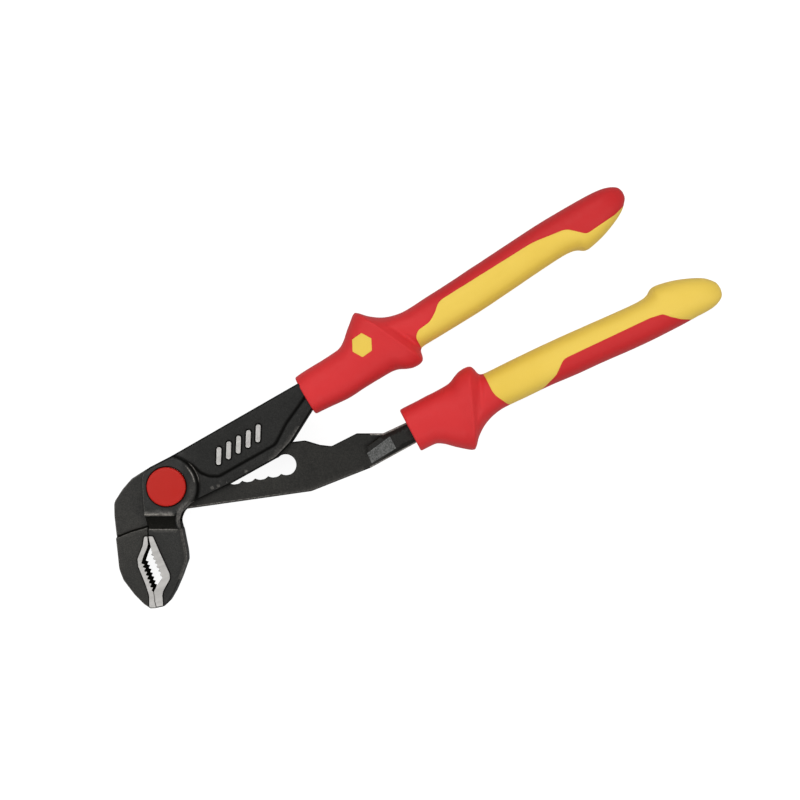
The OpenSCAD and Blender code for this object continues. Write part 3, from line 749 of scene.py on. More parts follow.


# Lighter edge colour on the box lever, partly rubbed metal and partly painted highlight: the block rim, the mating
# edges and scattered specks, the jaw's top edge, two boss arcs, the flank bevel and the arm's lower edge.
def wear_and_highlight_box(c):
    P, h = c[:, :2], np.abs(c[:, 2] - ZM)
    x, y = c[:, 0], c[:, 1]
    r = np.hypot(x, y)
    ang = np.degrees(np.arctan2(y, x))
    dr = edge_gap(P, REST_R, END_R)
    w = 0.14 * bell(dr - 0.40, 0.14) * (h > 3.5) * (x < -7.5)
    w = np.maximum(w, 0.35 * bell(dist(P, MATE_R, closed=False) - 0.06, 0.12) * (h > 4.9) * (y < -19.2))
    span = sstep(x, -8.8, -8.2) * sstep(-x, -3.4, -1.6)
    w = np.maximum(w, (1.0 * bell(y + 10.68, 0.36) + 0.40 * bell(y + 10.3, 0.8)) * span * (h > 7.2))
    w = np.maximum(w, 0.85 * bell(y + 16.20, 0.22) * (h > 4.5) * sstep(x, -7.2, -6.8) * sstep(-x, -4.4, -2.6))
    # painted highlight: the two arcs round the boss, only on the side turned to the lamps
    lit = sstep(ang, 4, 16) * sstep(-ang, -52, -36)
    w = np.maximum(w, 0.75 * bell(r - 10.62, 0.14) * lit * (h > 7.5))
    w = np.maximum(w, 0.60 * bell(r - 12.0, 0.12) * lit * (h < 8) * (h > 5))
    w = np.maximum(w, 0.13 * bell(r - 9.7, 0.9) * sstep(-ang, -25, 10) * sstep(ang, -75, -50) * (h > 7.8))
    # painted reflection: a lighter brownish band down the flank bevel, with a bright line at its outer edge
    band = 1.0 + 0.42 * sstep(y, -17, -12)
    flank = (x > 1.5) * (y < -5.6) * (y > -35) * (h > 3.5)
    w = np.maximum(w, (0.16 + 0.30 * bell(y + 10.5, 3.2)) * flank * sstep(-dr, -band, -band + 0.35))
    w = np.maximum(w, 0.55 * bell(dr - 0.12, 0.12) * flank)
    low = (y < 0.6 * x - 7) & (x > 38)
    w = np.maximum(w, 0.40 * bell(dr - 0.80, 0.14) * low * (h > 4.5))
    scat = (np.sin(x * 9.1 + 2.0) * np.sin(y * 7.7 + x * 3.1) > 0.83) * bell(dr - 1.5, 0.7) * (y < 0.62 * x - 7) * (x > 12) * (x < 34)
    wall = (dist(P, LEVER) < 0.015) & (dist(P, MATE_R, closed=False) < 0.45)
    return np.where(wall, 0.0, np.maximum(w, 0.55 * scat * (h > 5.2) * (h < 6.6)))


# Painted shade on the box lever: a general darkening over the arm, the scooped valley, the moats round the lands and
# bars, the panel wall, the groove round the boss, the arm's edges, the inner line of the flank bevel, and black on the
# walls inside the joint and in the passage.
def painted_shade_box(c):
    P, h = c[:, :2], np.abs(c[:, 2] - ZM)
    x, y = c[:, 0], c[:, 1]
    r = np.hypot(x, y)
    dr = edge_gap(P, REST_R, END_R)
    g = 0.30 * (x > 6) * (y > -6) * (h > 3.2)
    # painted shade: the scooped valley above the jaw made near black
    top = -10.75 + 0.9 * sstep(x, 1.2, 5.5)
    g = np.maximum(g, sstep(top - y, 0.15, 0.8) * sstep(y, -16.25, -16.0) * (x < 5.6) * (h > 3.2) * sstep(np.where(x > 0, dr, 9), 1.0, 1.7))
    g = np.maximum(g, 0.7 * sstep(-dr, -0.22, -0.1) * (x < -7.2) * (y > -15.8))
    sp = sdist(P, PANEL)
    g = np.maximum(g, 0.88 * bell(sp + 0.08, 0.78) * (h < 6.98) * (h > 5.2) * (x > 5) * sstep(r, 11.6, 12.6))
    g = np.maximum(g, 0.85 * sstep(r, 11.15, 11.45) * sstep(-r, -12.7, -12.2) * (h < 8.3) * (x > 0) * (h > 5) * (y > -7))
    g = np.maximum(g, 0.9 * bell(sdist(P, LAND_R) + 0.22, 0.16) * (y < -17.6) * (h > 4.5))
    for b in BARS:
        g = np.maximum(g, 0.9 * bell(sdist(P, b) + 0.28, 0.22) * (h > 6.4))
    # painted shade: the arm's rounded edges made dark, as edges turned from the lamps
    arm = (x > 9) | ((x > -7.5) & (y > 5))
    g = np.maximum(g, 0.85 * sstep(-dr, -0.75, -0.35) * arm)
    band = 1.0 + 0.42 * sstep(y, -17, -12)
    g = np.maximum(g, 0.75 * bell(dr - band - 0.12, 0.16) * (x > 1.5) * (y < -5.6) * (y > -35) * (h > 3.5))
    wall = (dist(P, LEVER) < 0.015) & (dist(P, MATE_R, closed=False) < 0.45)
    return np.maximum(g, np.where(wall, 1.0, 0.9 * (h < 3.25)))


wear_and_highlight(lever, wear_and_highlight_box)
wear_and_highlight(lever, painted_shade_box, "painted_shade")

# ------------------------------------------------------------------ rack lever
TANG = np.array([[75.0, 15.0], [82.0, 20.6], [95, 40], [110, 10], [76.9, 0], [76.3, 6], [75.4, 10.5]])
RAMP = soft([[75.0, 12.5, 0.3], [76.75, 8.45, 0.3], [86.2, 14.3, 0.3], [83.7, 18.9, 0.3]])
RAMP_D = pol(28)


def chain(r, n=10, seg=26):
    """Outline of the chain of overlapping notches."""
    half = math.acos(2.5 / r)
    out = []
    for i in range(n):
        c = CU * 5.0 * i
        a0, a1 = (-math.pi + half if i > 0 else -math.pi), (-half if i < n - 1 else 0)
        for k in range(seg + 1):
            a = a0 + (a1 - a0) * k / seg + RACK_DIR
            out.append(c + r * np.array([math.cos(a), math.sin(a)]))
    for i in range(n - 1, -1, -1):
        c = CU * 5.0 * i
        a0, a1 = (half if i < n - 1 else 0), (math.pi - half if i > 0 else math.pi)
        for k in range(seg + 1):
            a = a0 + (a1 - a0) * k / seg + RACK_DIR
            out.append(c + r * np.array([math.cos(a), math.sin(a)]))
    P = np.array(out)
    keep = [0]
    for i in range(1, len(P)):
        if np.linalg.norm(P[i] - P[keep[-1]]) > 1e-3:
            keep.append(i)
    P = P[keep]
    return P if np.linalg.norm(P[0] - P[-1]) > 1e-3 else P[:-1]


CHAIN = chain(4.0)


def height_rack(V, side):
    x, y = V[:, 0], V[:, 1]
    z = np.full(len(V), 3.0)
    sj = sdist(V, JAW_L)
    z = z + 2.05 * sstep(sj, -0.05, 0.18) - 0.30 * np.exp(-((sj + 0.30) / 0.20) ** 2) - bump_edge(np.maximum(sj - 0.12, 0), 0.3) * (sj > 0.05)
    sl = sdist(V, LAND_L)
    z = z + (0.2 * sstep(sl, -0.03, 0.05) - 0.16 * np.exp(-((sl + 0.24) / 0.13) ** 2) * (sl < 0)) * (y < -18.0)
    st = sdist(V, TANG)
    xr = (V - np.array([75.9, 10.4])) @ RAMP_D
    dr, dm = edge_gap(V, REST_L, END_L), dist(V, MATE_L, closed=False)
    top = np.clip(3.0 + 0.19 * np.maximum(xr, 0), 3.0, 4.8)
    top = np.minimum(top, 3.15 + 1.15 * np.maximum(dr - 0.35, 0))
    inr = sdist(V, RAMP)
    z = np.where(st > -0.6, z + (top - 3.0) * sstep(st, -0.05, 0.45), z)
    z = z - 0.10 * np.exp(-(inr / 0.16) ** 2) * (st > 0) * (inr < 0.02)
    dc = dist(V, CHAIN)
    jawside = (x < -3) & (y < 2.0)
    z = z - np.where(jawside, bump_edge(dr, 0.8), bump_edge(dr, 0.42)) - bump_edge(dm, 0.12) - bump_edge(dc, 0.14)
    return np.maximum(z, 0.8)


rack = forge("rack_lever_forging", RACK, [CHAIN], height_rack,
             [(JAW_L, (-0.6, -0.45, -0.3, -0.15, -0.05, 0.05, 0.12, 0.2, 0.32, 0.45)),
              (LAND_L, (-0.45, -0.34, -0.24, -0.14, -0.03, 0.05, 0.2)),
              (TANG, (-0.3, -0.05, 0.1, 0.25, 0.45)), (RAMP, (-0.2, -0.02, 0.1, 0.3))],
             gap=0.42, grid=0.9, rim=(0.02, 0.07, 0.14, 0.24, 0.36, 0.5, 0.66, 0.85))
lo_slot = soft([[(-4.15 * CU + 4.05 * CN)[0], (-4.15 * CU + 4.05 * CN)[1], 3.9], [(-4.15 * CU - 4.05 * CN)[0], (-4.15 * CU - 4.05 * CN)[1], 3.9],
                [(49.15 * CU - 4.05 * CN)[0], (49.15 * CU - 4.05 * CN)[1], 3.9], [(49.15 * CU + 4.05 * CN)[0], (49.15 * CU + 4.05 * CN)[1], 3.9]])
carve(rack, prism("cut_slot", lo_slot, ZM - 6, ZM - 0.02))
shade(rack, 30)
give(rack, MAT_RACK, MAT_LAND, MAT_RAMP)


def paint_rack(c, n):
    P = c[:, :2]
    face = np.abs(n[:, 2]) > 0.8
    land = face & (sdist(P, LAND_L) > 0.0) & (c[:, 1] < -18) & (np.abs(c[:, 2] - ZM) > 5.1)
    ramp = face & (sdist(P, RAMP) > 0.0)
    return np.where(ramp, 2, land.astype(int))


paint(rack, paint_rack)


# Lighter edge colour on the rack lever, partly rubbed metal and partly painted highlight: the jaw's edges and mating
# edges, a dashed bright line along the plate's lower edge, the tang's edges and the rim of the jaw step.
def wear_and_highlight_rack(c):
    P, h = c[:, :2], np.abs(c[:, 2] - ZM)
    x, y = c[:, 0], c[:, 1]
    dr = edge_gap(P, REST_L, END_L)
    w = 0.30 * bell(dr - 0.30, 0.16) * (h > 2.0) * (x < -3)
    w = np.maximum(w, 0.40 * bell(dist(P, MATE_L, closed=False) - 0.06, 0.12) * (h > 4.9) * (y < -19.2))
    low = y < 0.2 * x + 1
    dash = 0.5 + 0.5 * (np.sin(x * 2.4) > -0.3)
    w = np.maximum(w, 0.60 * bell(dr - 0.55, 0.13) * low * dash * (x > 6) * (x < 42) * (h > 2.6))
    w = np.maximum(w, 0.16 * bell(dr - 0.5, 0.3) * low * (x >= 42) * (x < 74) * (h > 2.6))
    w = np.maximum(w, 0.95 * bell(dr - 0.22, 0.26) * (x > 76.2) * (h > 1.4))
    w = np.maximum(w, 0.35 * bell(sdist(P, JAW_L) - 0.2, 0.16) * (h > 4.6))
    wall = (dist(P, RACK) < 0.015) & (dist(P, MATE_L, closed=False) < 0.45)
    return np.where(wall, 0.0, w)


# Painted shade on the rack lever: a general darkening that grows towards the tang, a dark line at the foot of the jaw
# step, the land moats, a painted shadow beside the tang, dark upper and lower edges, and black on the mating walls.
def painted_shade_rack(c):
    P, h = c[:, :2], np.abs(c[:, 2] - ZM)
    x, y = c[:, 0], c[:, 1]
    dr = edge_gap(P, REST_L, END_L)
    g = 0.28 * (x > 4) + 0.08 * sstep(x, 42, 58)
    g = np.maximum(g, 0.95 * bell(sdist(P, JAW_L) + 0.18, 0.26) * (h < 4.9) * (h > 2))
    g = np.maximum(g, 0.9 * bell(sdist(P, LAND_L) + 0.22, 0.16) * (y < -17.6) * (h > 4.5))
    st = sdist(P, TANG)
    # painted shadow: a dark wedge beside the tang's side, above the plate
    g = np.maximum(g, 0.75 * bell(st + 0.15, 0.55) * (h > 2.5) * (y > 12.0) * (sdist(P, RAMP) < 0.05))
    g = np.maximum(g, 0.60 * bell(dr - 0.95, 0.24) * (x > 76.2) * (sdist(P, RAMP) < 0.0))
    upper = (y > 0.2 * x + 1) & (x > -12)
    g = np.maximum(g, 0.85 * sstep(-dr, -0.55, -0.2) * upper * (x < 76))
    g = np.maximum(g, 0.75 * sstep(-dr, -0.30, -0.1) * ~upper * (x > 5) * (x < 76))
    wall = (dist(P, RACK) < 0.015) & (dist(P, MATE_L, closed=False) < 0.45)
    return np.maximum(g, 1.0 * wall)


wear_and_highlight(rack, wear_and_highlight_rack)
wear_and_highlight(rack, painted_shade_rack, "painted_shade")

# ------------------------------------------------------------------ button
TOP = 18.2
prof = [(0, TOP)] + [(r, TOP - 0.10 * (r / 6.7) ** 2) for r in (1.5, 3, 4.5, 5.6, 6.3, 6.7)]
prof += [(6.7 + 0.62 * math.sin(math.radians(a)), TOP - 0.10 - 0.62 * (1 - math.cos(math.radians(a)))) for a in (15, 30, 45, 60, 75, 90)]
prof += [(7.32, TOP - 2.2), (6.0, TOP - 2.2), (6.0, TOP - 1.4), (2.5, TOP - 1.4), (2.5, TOP - 0.9), (0, TOP - 0.9)]
button = lathe("button_cap", prof, 160)
shade(button, 35)
give(button, MAT_BUTTON)

# ------------------------------------------------------------------ return spring, lying flat as when the button is pressed home
def coil(name, wire, r0, r1, turns, z, seg=40, m=12):
    n = int(turns * seg)
    bm = bmesh.new()
    rows = []
    for i in range(n + 1):
        a = 2 * math.pi * turns * i / n
        r = r0 + (r1 - r0) * i / n
        rows.append([bm.verts.new(((r + wire / 2 * math.cos(2 * math.pi * k / m)) * math.cos(a) * MM, (r + wire / 2 * math.cos(2 * math.pi * k / m)) * math.sin(a) * MM,
                                   (z + wire / 2 * math.sin(2 * math.pi * k / m)) * MM)) for k in range(m)])
    for A, B in zip(rows[:-1], rows[1:]):
        for k in range(m):
            bm.faces.new((A[k], B[k], B[(k + 1) % m], A[(k + 1) % m]))
    bm.faces.new(rows[0])
    bm.faces.new(rows[-1][::-1])
    bmesh.ops.recalc_face_normals(bm, faces=bm.faces[:])
    me = bpy.data.meshes.new(name)
    bm.to_mesh(me)
    bm.free()
    ob = bpy.data.objects.new(name, me)
    bpy.context.scene.collection.objects.link(ob)
    return ob


spring = coil("return_spring_coil", 0.60, 5.60, 4.38, 1.9, 13.26)
shade(spring, 40)
give(spring, MAT_SPRING)

# ------------------------------------------------------------------ grips
OUTER = [[-33.4, 8.6], [-30, 8.8], [-15, 8.7], [-12, 9.0], [-9, 10.6], [-6, 13.2], [-3, 15.6], [-1.2, 16.9], [0, 17.3], [1.2, 16.2],
         [3, 14.0], [5.5, 11.7], [8, 10.0], [11, 8.7], [14.5, 7.8], [18, 7.5], [26, 7.55], [36, 7.5], [48, 8.0], [62, 8.1], [76, 8.2],
         [86, 7.9], [94, 7.5], [100, 7.0], [104, 6.3], [107, 5.2], [109, 3.9], [109.8, 2.9], [110.2, 1.5]]
INNER = [[-33.4, -6.9], [-30, -7.2], [-24, -7.9], [-18, -8.4], [-12, -8.4], [-5, -8.6], [0, -9.2], [2.5, -9.9], [5, -11.3], [7.5, -12.3],
         [10, -12.3], [11.8, -11.6], [12.6, -10.4], [13.2, -8.3], [14, -7.4], [15.5, -7.1], [20, -7.2], [30, -7.5], [45, -7.8], [58, -7.6],
         [70, -7.2], [79, -7.1], [82.5, -7.5], [84.5, -8.3], [86.2, -9.6], [88, -10.0], [91, -9.7], [95, -8.9], [99, -7.7], [103, -6.2],
         [106.5, -4.4], [108.8, -2.4], [109.8, -1.1], [110.2, 0.5]]
THICK = [[-33.4, 7.7], [-28, 8.0], [-16, 8.1], [-9, 8.45], [-4, 8.75], [4, 8.85], [10, 8.8], [16, 8.7], [22, 8.7],
         [60, 8.7], [84, 8.9], [92, 8.7], [100, 7.8], [105, 6.2], [108.5, 4.0], [109.7, 2.4], [110.2, 1.0]]


def table(x, T, split=None):
    """Smooth curve through a table; a split keeps a corner at that station."""
    T = np.array(T, float)
    x = np.asarray(x, float)
    xs, ys = T[:, 0], T[:, 1]
    m = np.empty(len(xs))
    m[1:-1] = (ys[2:] - ys[:-2]) / (xs[2:] - xs[:-2])
    m[0], m[-1] = (ys[1] - ys[0]) / (xs[1] - xs[0]), (ys[-1] - ys[-2]) / (xs[-1] - xs[-2])
    i = np.clip(np.searchsorted(xs, x, side="right") - 1, 0, len(xs) - 2)
    h = xs[i + 1] - xs[i]
    u = np.clip((x - xs[i]) / h, 0, 1)
    m0, m1 = m[i].copy(), m[i + 1].copy()
    if split is not None:
        j = int(np.argmin(np.abs(xs - split)))
        before = (ys[j] - ys[j - 1]) / (xs[j] - xs[j - 1])
        after = (ys[j + 1] - ys[j]) / (xs[j + 1] - xs[j])
        m1 = np.where(i + 1 == j, before, m1)
        m0 = np.where(i == j, after, m0)
    return (2 * u ** 3 - 3 * u ** 2 + 1) * ys[i] + (u ** 3 - 2 * u ** 2 + u) * m0 * h + (-2 * u ** 3 + 3 * u ** 2) * ys[i + 1] + (u ** 3 - u ** 2) * m1 * h


RED_FRONT = soft([[-60, -40], [14, -40], [14, -7.1], [14.1, -3.0, 3], [16.6, -1.6, 2], [21.9, -1.3, 6], [25.6, 0.9, 5], [28.6, 3.4, 5], [33, 3.4],
                  [70, 2.9, 20], [83.4, 0.3, 6], [89.0, -5.5, 3], [102.5, -5.1, 8], [112, -3.0], [140, -3.0], [140, 40], [-60, 40]])
RED_BACK = soft([[-60, -40], [14.9, -40], [14.9, -7.4], [14.8, 1.0, 8], [18.2, 6.8, 3], [22, 9.4], [22, 40], [-60, 40]])
RED_STRIP = soft([[28, 40], [28, 8.6], [33.5, 7.1, 6], [39.2, 4.8, 6], [44.2, 0.4, 4], [80, 0.5, 10], [84.9, 1.2, 2.5], [87.4, 3.6, 6], [90.6, 6.0, 5], [95.5, 8.3], [99, 9.6], [99, 40]])
HEXC, HEXR = np.array([-4.35, 5.15]), 4.5
HEX_T = np.array([[math.cos(UA), math.sin(UA)], [-math.sin(UA), math.cos(UA)]])
HEXA = np.array([HEXC + HEX_T @ (np.array([0.93, 1.01]) * (HEX_T.T @ (HEXR * pol(60 * k)))) for k in range(6)])
SKIN = 1.6


def grip(prefix, mouth, place, d_out, d_in, lean, crest):
    """One two-colour handle grip: three closed pieces (core, outer layer, inlay) from one surface."""
    # rib stations: fine at the mouth, the guard and the tip
    S = [mouth, mouth + 0.05, mouth + 0.16, mouth + 0.32, mouth + 0.55, mouth + 0.85]
    s = S[-1]
    while s < 110.19:
        step = 0.9
        if -11.5 < s < 16:
            step = 0.30
        elif 16 <= s < 34 or 78 < s < 98 or s < -11.5:
            step = 0.6
        if s > 104:
            step = 0.45
        if s > 108.4:
            step = 0.22
        s = min(s + step, 110.2)
        S.append(s)
    S = np.array(S)
    rimoff = np.zeros(len(S))
    rimoff[:6] = [0.72, 0.42, 0.22, 0.10, 0.03, 0.0]
    K = 176
    th = np.linspace(0, 2 * math.pi, K, endpoint=False)
    off = -5.5 * np.exp(-((S - 5.5) / 9.0) ** 2) * sstep(S, mouth, mouth + 12)
    so, si = S + off, S - off
    o = table(so, OUTER, split=0.0) + np.interp(so, *zip(*d_out)) - rimoff
    b = table(si, INNER) + np.interp(si, *zip(*d_in)) + rimoff
    h = table(S, THICK) - rimoff
    # ridge across the guard, with a flare each side of it
    d = S - crest
    ridge = 1.58 * np.exp(-(np.sqrt(d * d + 0.20) - 0.447) / np.where(d < 0, 4.6, 2.0))
    h = h + ridge * sstep(S, -14, -8) * (1 - sstep(S, 16, 24)) - 0.45 * np.exp(-((S - 11.8) / 3.0) ** 2)
    co, sn = np.cos(th), np.sin(th)
    pw = 0.80
    w = np.sign(co) * np.abs(co) ** pw
    q = np.sign(sn) * np.abs(sn) ** pw
    c, a = (o + b) / 2, (o - b) / 2
    T = c[:, None] + a[:, None] * w[None]
    Z = h[:, None] * q[None]
    Z = Z * (1 - 0.11 * np.exp(-((S - crest - 3.4) / 1.8) ** 2)[:, None] * sstep(-w, -0.6, 0.4)[None])
    SS = S[:, None] + off[:, None] * w[None] + (1 - sstep(S, mouth, mouth + 9))[:, None] * (lean[0] + lean[1] * w[None])
    n, m = len(S), K
    V = np.stack([SS, T, Z], 2).reshape(-1, 3)
    idx = lambda i, k: i * m + (k % m)
    tris = []
    for i in range(n - 1):
        for k in range(m):
            A, B, C, D = idx(i, k), idx(i + 1, k), idx(i + 1, k + 1), idx(i, k + 1)
            if (i + k) % 2:
                tris += [(A, B, C), (A, C, D)]
            else:
                tris += [(A, B, D), (B, C, D)]
    V = list(map(tuple, V))
    # end caps: rings towards the middle, so that the flat ends are made of even faces
    for i, sgn in ((0, -1), (n - 1, 1)):
        ringi = [idx(i, k) for k in range(m)]
        cen = np.array([V[j] for j in ringi]).mean(0)
        prev = ringi
        for f in (0.72, 0.4):
            cur = []
            for j in ringi:
                cur.append(len(V))
                V.append(tuple(cen + (np.array(V[j]) - cen) * f))
            for k in range(m):
                A, B, C, D = prev[k], prev[(k + 1) % m], cur[(k + 1) % m], cur[k]
                tris += [(A, B, C), (A, C, D)] if sgn < 0 else [(A, C, B), (A, D, C)]
            prev = cur
        V.append(tuple(cen))
        for k in range(m):
            A, B = prev[k], prev[(k + 1) % m]
            tris.append((A, B, len(V) - 1) if sgn < 0 else (B, A, len(V) - 1))
    V = np.array(V)
    # the sign of each field on every vertex, then cut the triangles along the zero lines
    P = V[:, :2]
    cap = lambda v: np.clip(v, -3, 3)
    front = cap(sdist(P, RED_FRONT))
    back = cap(np.maximum(sdist(P, RED_BACK), sdist(P, RED_STRIP)))
    wz = sstep(V[:, 2], -0.7, 0.7)
    red = front * wz + back * (1 - wz)
    hexa = np.where(V[:, 2] > 2, sdist(P, HEXA), -5.0)
    red[V[:, 0] < mouth + 0.4] = 3
    for field in (0, 1):
        F = red if field == 0 else hexa
        F = np.where(np.abs(F) < 1e-4, 1e-4, F)
        V2, red2, hex2, out, cut = list(map(tuple, V)), list(red), list(hexa), [], {}
        Fl = list(F)

        def mid(i, j):
            key = (min(i, j), max(i, j))
            if key not in cut:
                t = Fl[i] / (Fl[i] - Fl[j])
                cut[key] = len(V2)
                V2.append(tuple(np.array(V2[i]) * (1 - t) + np.array(V2[j]) * t))
                red2.append(0.0 if field == 0 else red2[i] * (1 - t) + red2[j] * t)
                hex2.append(0.0 if field == 1 else hex2[i] * (1 - t) + hex2[j] * t)
                Fl.append(0.0)
            return cut[key]

        for t in tris:
            sg = [Fl[v] > 0 for v in t]
            if all(sg) or not any(sg):
                out.append(t)
                continue
            lone = sg.index(True) if sum(sg) == 1 else sg.index(False)
            A, B, C = t[lone], t[(lone + 1) % 3], t[(lone + 2) % 3]
            ab, ac = mid(A, B), mid(A, C)
            out += [(A, ab, ac), (ab, B, C), (ab, C, ac)]
        V, red, hexa, tris = np.array(V2), np.array(red2), np.array(hex2), out
    T3 = np.array(tris)
    rc, hc = red[T3].mean(1), hexa[T3].mean(1)
    label = np.where(hc > 0, 2, np.where(rc > 0, 1, 0))
    # vertex normals
    fn = np.cross(V[T3[:, 1]] - V[T3[:, 0]], V[T3[:, 2]] - V[T3[:, 0]])
    N = np.zeros_like(V)
    for k in range(3):
        np.add.at(N, T3[:, k], fn)
    N /= np.maximum(np.linalg.norm(N, axis=1), 1e-12)[:, None]
    if np.mean(np.sum(N * (V - np.array([0, 0, 0])) * np.array([0, 1, 1]), 1)) < 0:
        T3, N = T3[:, ::-1], -N
    nv = len(V)
    labs = [set() for _ in range(nv)]
    for t, l in zip(T3, label):
        for v in t:
            labs[v].add(int(l))
    seam = np.array([len(x) > 1 for x in labs])

    def edges_of(sel):
        e = {}
        for t in T3[sel]:
            for u, v in ((t[0], t[1]), (t[1], t[2]), (t[2], t[0])):
                e[(u, v)] = 1
        return [(u, v) for (u, v) in e if (v, u) not in e]

    def build(name, verts, faces):
        used = sorted({v for f in faces for v in f})
        mp = {v: i for i, v in enumerate(used)}
        me = bpy.data.meshes.new(name)
        me.from_pydata([tuple(place(verts[v]) * MM) for v in used], [], [tuple(mp[v] for v in f) for f in faces])
        me.update()
        ob = bpy.data.objects.new(name, me)
        bpy.context.scene.collection.objects.link(ob)
        bm = edit(ob)
        bmesh.ops.dissolve_degenerate(bm, dist=2e-6, edges=bm.edges[:])
        bmesh.ops.recalc_face_normals(bm, faces=bm.faces[:])
        keep_edit(bm, ob)
        shade(ob, 38)
        return ob

    groove = V - N * np.where(seam, 0.10, 0.0)[:, None]
    deep = V - N * SKIN
    proud = V + N * (0.10 * ~seam)[:, None]
    made = []
    for lab, nm, top in ((1, "outer_layer", groove), (2, "inlay", proud)):
        sel = label == lab
        allv = np.vstack([top, deep])
        faces = [tuple(t) for t in T3[sel]] + [tuple(int(x) + nv for x in t[::-1]) for t in T3[sel]]
        faces += [(v, u, u + nv, v + nv) for u, v in edges_of(sel)]
        made.append(build(prefix + "_" + nm, allv, faces))
    sel = label == 0
    deeper = V - N * (SKIN + 0.02)
    allv = np.vstack([groove, deeper])
    faces = [tuple(t) for t in T3[sel]] + [tuple(int(x) + nv for x in t) for t in T3[~sel]]
    faces += [(v, u, u + nv, v + nv) for u, v in edges_of(sel)]
    made.append(build(prefix + "_core", allv, faces))
    return made


def at_upper(p):
    s, t, z = p
    x, y = upper_xy(s, t)
    return np.array([x, y, ZM + z])


def at_lower(p):
    s, t, z = p
    x, y = lower_xy(s, t)
    return np.array([x, y, ZM - z])


UP_OUT = [(-33, 0.2), (-26, 0.2), (-20, 0.1), (-14, 0.15), (-8, 0.35), (-4, 0.0), (14, 0.0), (36, 0.0), (50, -0.4), (62, -0.3), (94, -0.32), (102, -0.3), (110.2, -0.2)]
UP_IN = [(-33, -0.1), (-26, -0.2), (-20, -0.45), (-14, -0.35), (-5, -0.35), (0, 0.0), (8, 0.0), (12, -0.4), (20, -0.42), (38, -0.35), (50, -0.15), (62, -0.15),
         (78, -0.38), (85, -0.6), (90, -0.45), (98, -0.5), (105, -0.5), (110.2, -0.35)]
LO_OUT = [(-19, 0.1), (-12, -0.1), (-8, 0.2), (-3, 0.0), (0, -0.2), (3, -0.25), (8, 0.0), (56, 0.0), (68, 0.33), (78, 0.45), (90, 0.6), (98, 0.65), (102, 1.0),
          (106, 1.4), (109, 1.55), (110.2, 1.35)]
LO_IN = [(-19, -0.4), (-12, -0.6), (-8, -0.75), (-3, -0.55), (2, -0.2), (8, 0.0), (12, -0.5), (16, -0.35), (26, -0.2), (36, 0.0), (44, 0.22), (56, 0.35),
         (70, 0.3), (81, 0.3), (86, 0.5), (98, 0.4), (106, 0.4), (110.2, 0.6)]
for prefix, mouth, place, body, d_out, d_in in (("upper_handle", -33.2, at_upper, "box_lever", UP_OUT, UP_IN), ("lower_handle", -19.2, at_lower, "rack_lever", LO_OUT, LO_IN)):
    layer, inlay, core = grip(prefix, mouth, place, d_out, d_in, (0.32, 0.34) if prefix == "upper_handle" else (0.0, 0.34),
                              6.3 if prefix == "upper_handle" else 5.3)
    give(layer, MAT_RED)
    og, ag = (UO, UA) if prefix == "upper_handle" else (LO_, LA)
    # tone: painted shade, deepening the red layer from station 16 towards the tip
    wear_and_highlight(layer, lambda c: 0.75 * sstep((c[:, 0] - og[0]) * math.cos(ag) + (c[:, 1] - og[1]) * math.sin(ag), 16, 34), "tone")
    give(inlay, MAT_YELLOW)
    give(core, MAT_YELLOW)
    cad = prefix.split("_")[0] + "_grip_"
    for ob, node, sl in ((layer, "shell", "grip_red"), (inlay, "inlay", "grip_yellow"), (core, "core", "grip_yellow")):
        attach(ob, body)
        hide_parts(cad + node)

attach(lever, "box_lever")
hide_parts("box_lever")
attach(rack, "rack_lever")
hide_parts("rack_lever")
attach(button, "button_pin")
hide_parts("push_button")
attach(spring, "pivot_carrier")
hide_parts("return_spring")

for node, mat in (("locking_pin", MAT_PIN), ("spring_seat_washer", MAT_PIN), ("retaining_ring", MAT_SPRING)):
    give(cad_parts[node], mat)

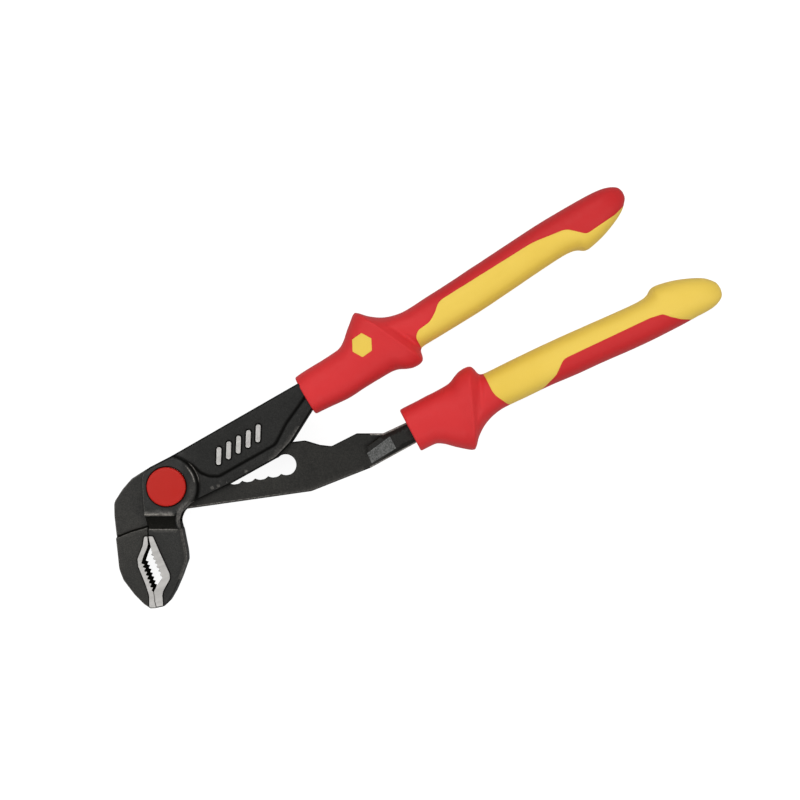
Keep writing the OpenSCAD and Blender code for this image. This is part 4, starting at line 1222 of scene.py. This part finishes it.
# ------------------------------------------------------------------ floor, light, camera
lo = CAD_LO
size = 3.0
me = bpy.data.meshes.new("floor")
me.from_pydata([(-size, -size, 0), (size, -size, 0), (size, size, 0), (-size, size, 0)], [], [(0, 1, 2, 3)])
floor = bpy.data.objects.new("floor", me)
bpy.context.scene.collection.objects.link(floor)
floor.location = (0.09, 0.03, lo.z - 0.0002)
fm = Mat("pale_floor")
fm.set(Base_Color=fm.mix(fm.ramp(fm.noise(9, 3, 0.5), 0.3, 0.7), (0.200, 0.200, 0.200, 1), (0.210, 0.210, 0.210, 1)), Roughness=0.9)
fm.bsdf.inputs["Specular IOR Level"].default_value = 0.0
fm.bsdf.inputs["Emission Color"].default_value = (1, 1, 1, 1)
path = fm.node("ShaderNodeLightPath")
glow = fm.math("ADD", fm.math("MULTIPLY", path.outputs["Is Camera Ray"], 0.92), fm.math("MULTIPLY", path.outputs["Is Glossy Ray"], 0.12))
glow = fm.math("ADD", glow, fm.math("MULTIPLY", path.outputs["Is Diffuse Ray"], 0.60))
fm.link(glow, fm.bsdf.inputs["Emission Strength"])
give(floor, fm.m)

scene = bpy.context.scene
world = bpy.data.worlds.new("studio")
scene.world = world
world.use_nodes = True
wn = world.node_tree.nodes
wn["Background"].inputs["Color"].default_value = (1, 1, 1, 1)
wn["Background"].inputs["Strength"].default_value = 0.14


def area(name, loc, aim, size_x, size_y, power, col=(1, 1, 1)):
    L = bpy.data.lights.new(name, "AREA")
    L.shape, L.size, L.size_y, L.energy, L.color = "RECTANGLE", size_x, size_y, power, col
    ob = bpy.data.objects.new(name, L)
    scene.collection.objects.link(ob)
    ob.location = loc
    ob.rotation_mode = "QUATERNION"
    ob.rotation_quaternion = (Vector(aim) - Vector(loc)).to_track_quat("-Z", "Y")
    return ob


MID = (0.09, 0.035, 0.008)
area("top_soft", (0.05, 0.72, 0.85), MID, 0.9, 0.5, 3.7)
area("left_soft", (-0.58, 0.10, 0.82), MID, 0.5, 0.8, 3.2)
area("right_soft", (0.80, 0.02, 0.82), MID, 0.5, 0.8, 3.6)
area("low_soft", (0.12, -0.62, 0.90), MID, 0.8, 0.4, 2.9)
area("overhead", (0.02, 0.30, 1.25), MID, 0.35, 0.35, 1.3)

cam_data = bpy.data.cameras.new("camera")
cam_data.sensor_width = 36.0
cam_data.lens = 36.0 * 585.0 / 304.0
cam = bpy.data.objects.new("camera", cam_data)
scene.collection.objects.link(cam)
cam.location = (0.0875, 0.0325, 0.0085 + 0.585)
cam.rotation_euler = (0, 0, 0)
cam_data.clip_start, cam_data.clip_end = 0.01, 20.0
scene.camera = cam
scene.view_settings.view_transform = "Standard"
scene.view_settings.look = "None"
scene.view_settings.exposure = 0.0
scene.view_settings.gamma = 1.0
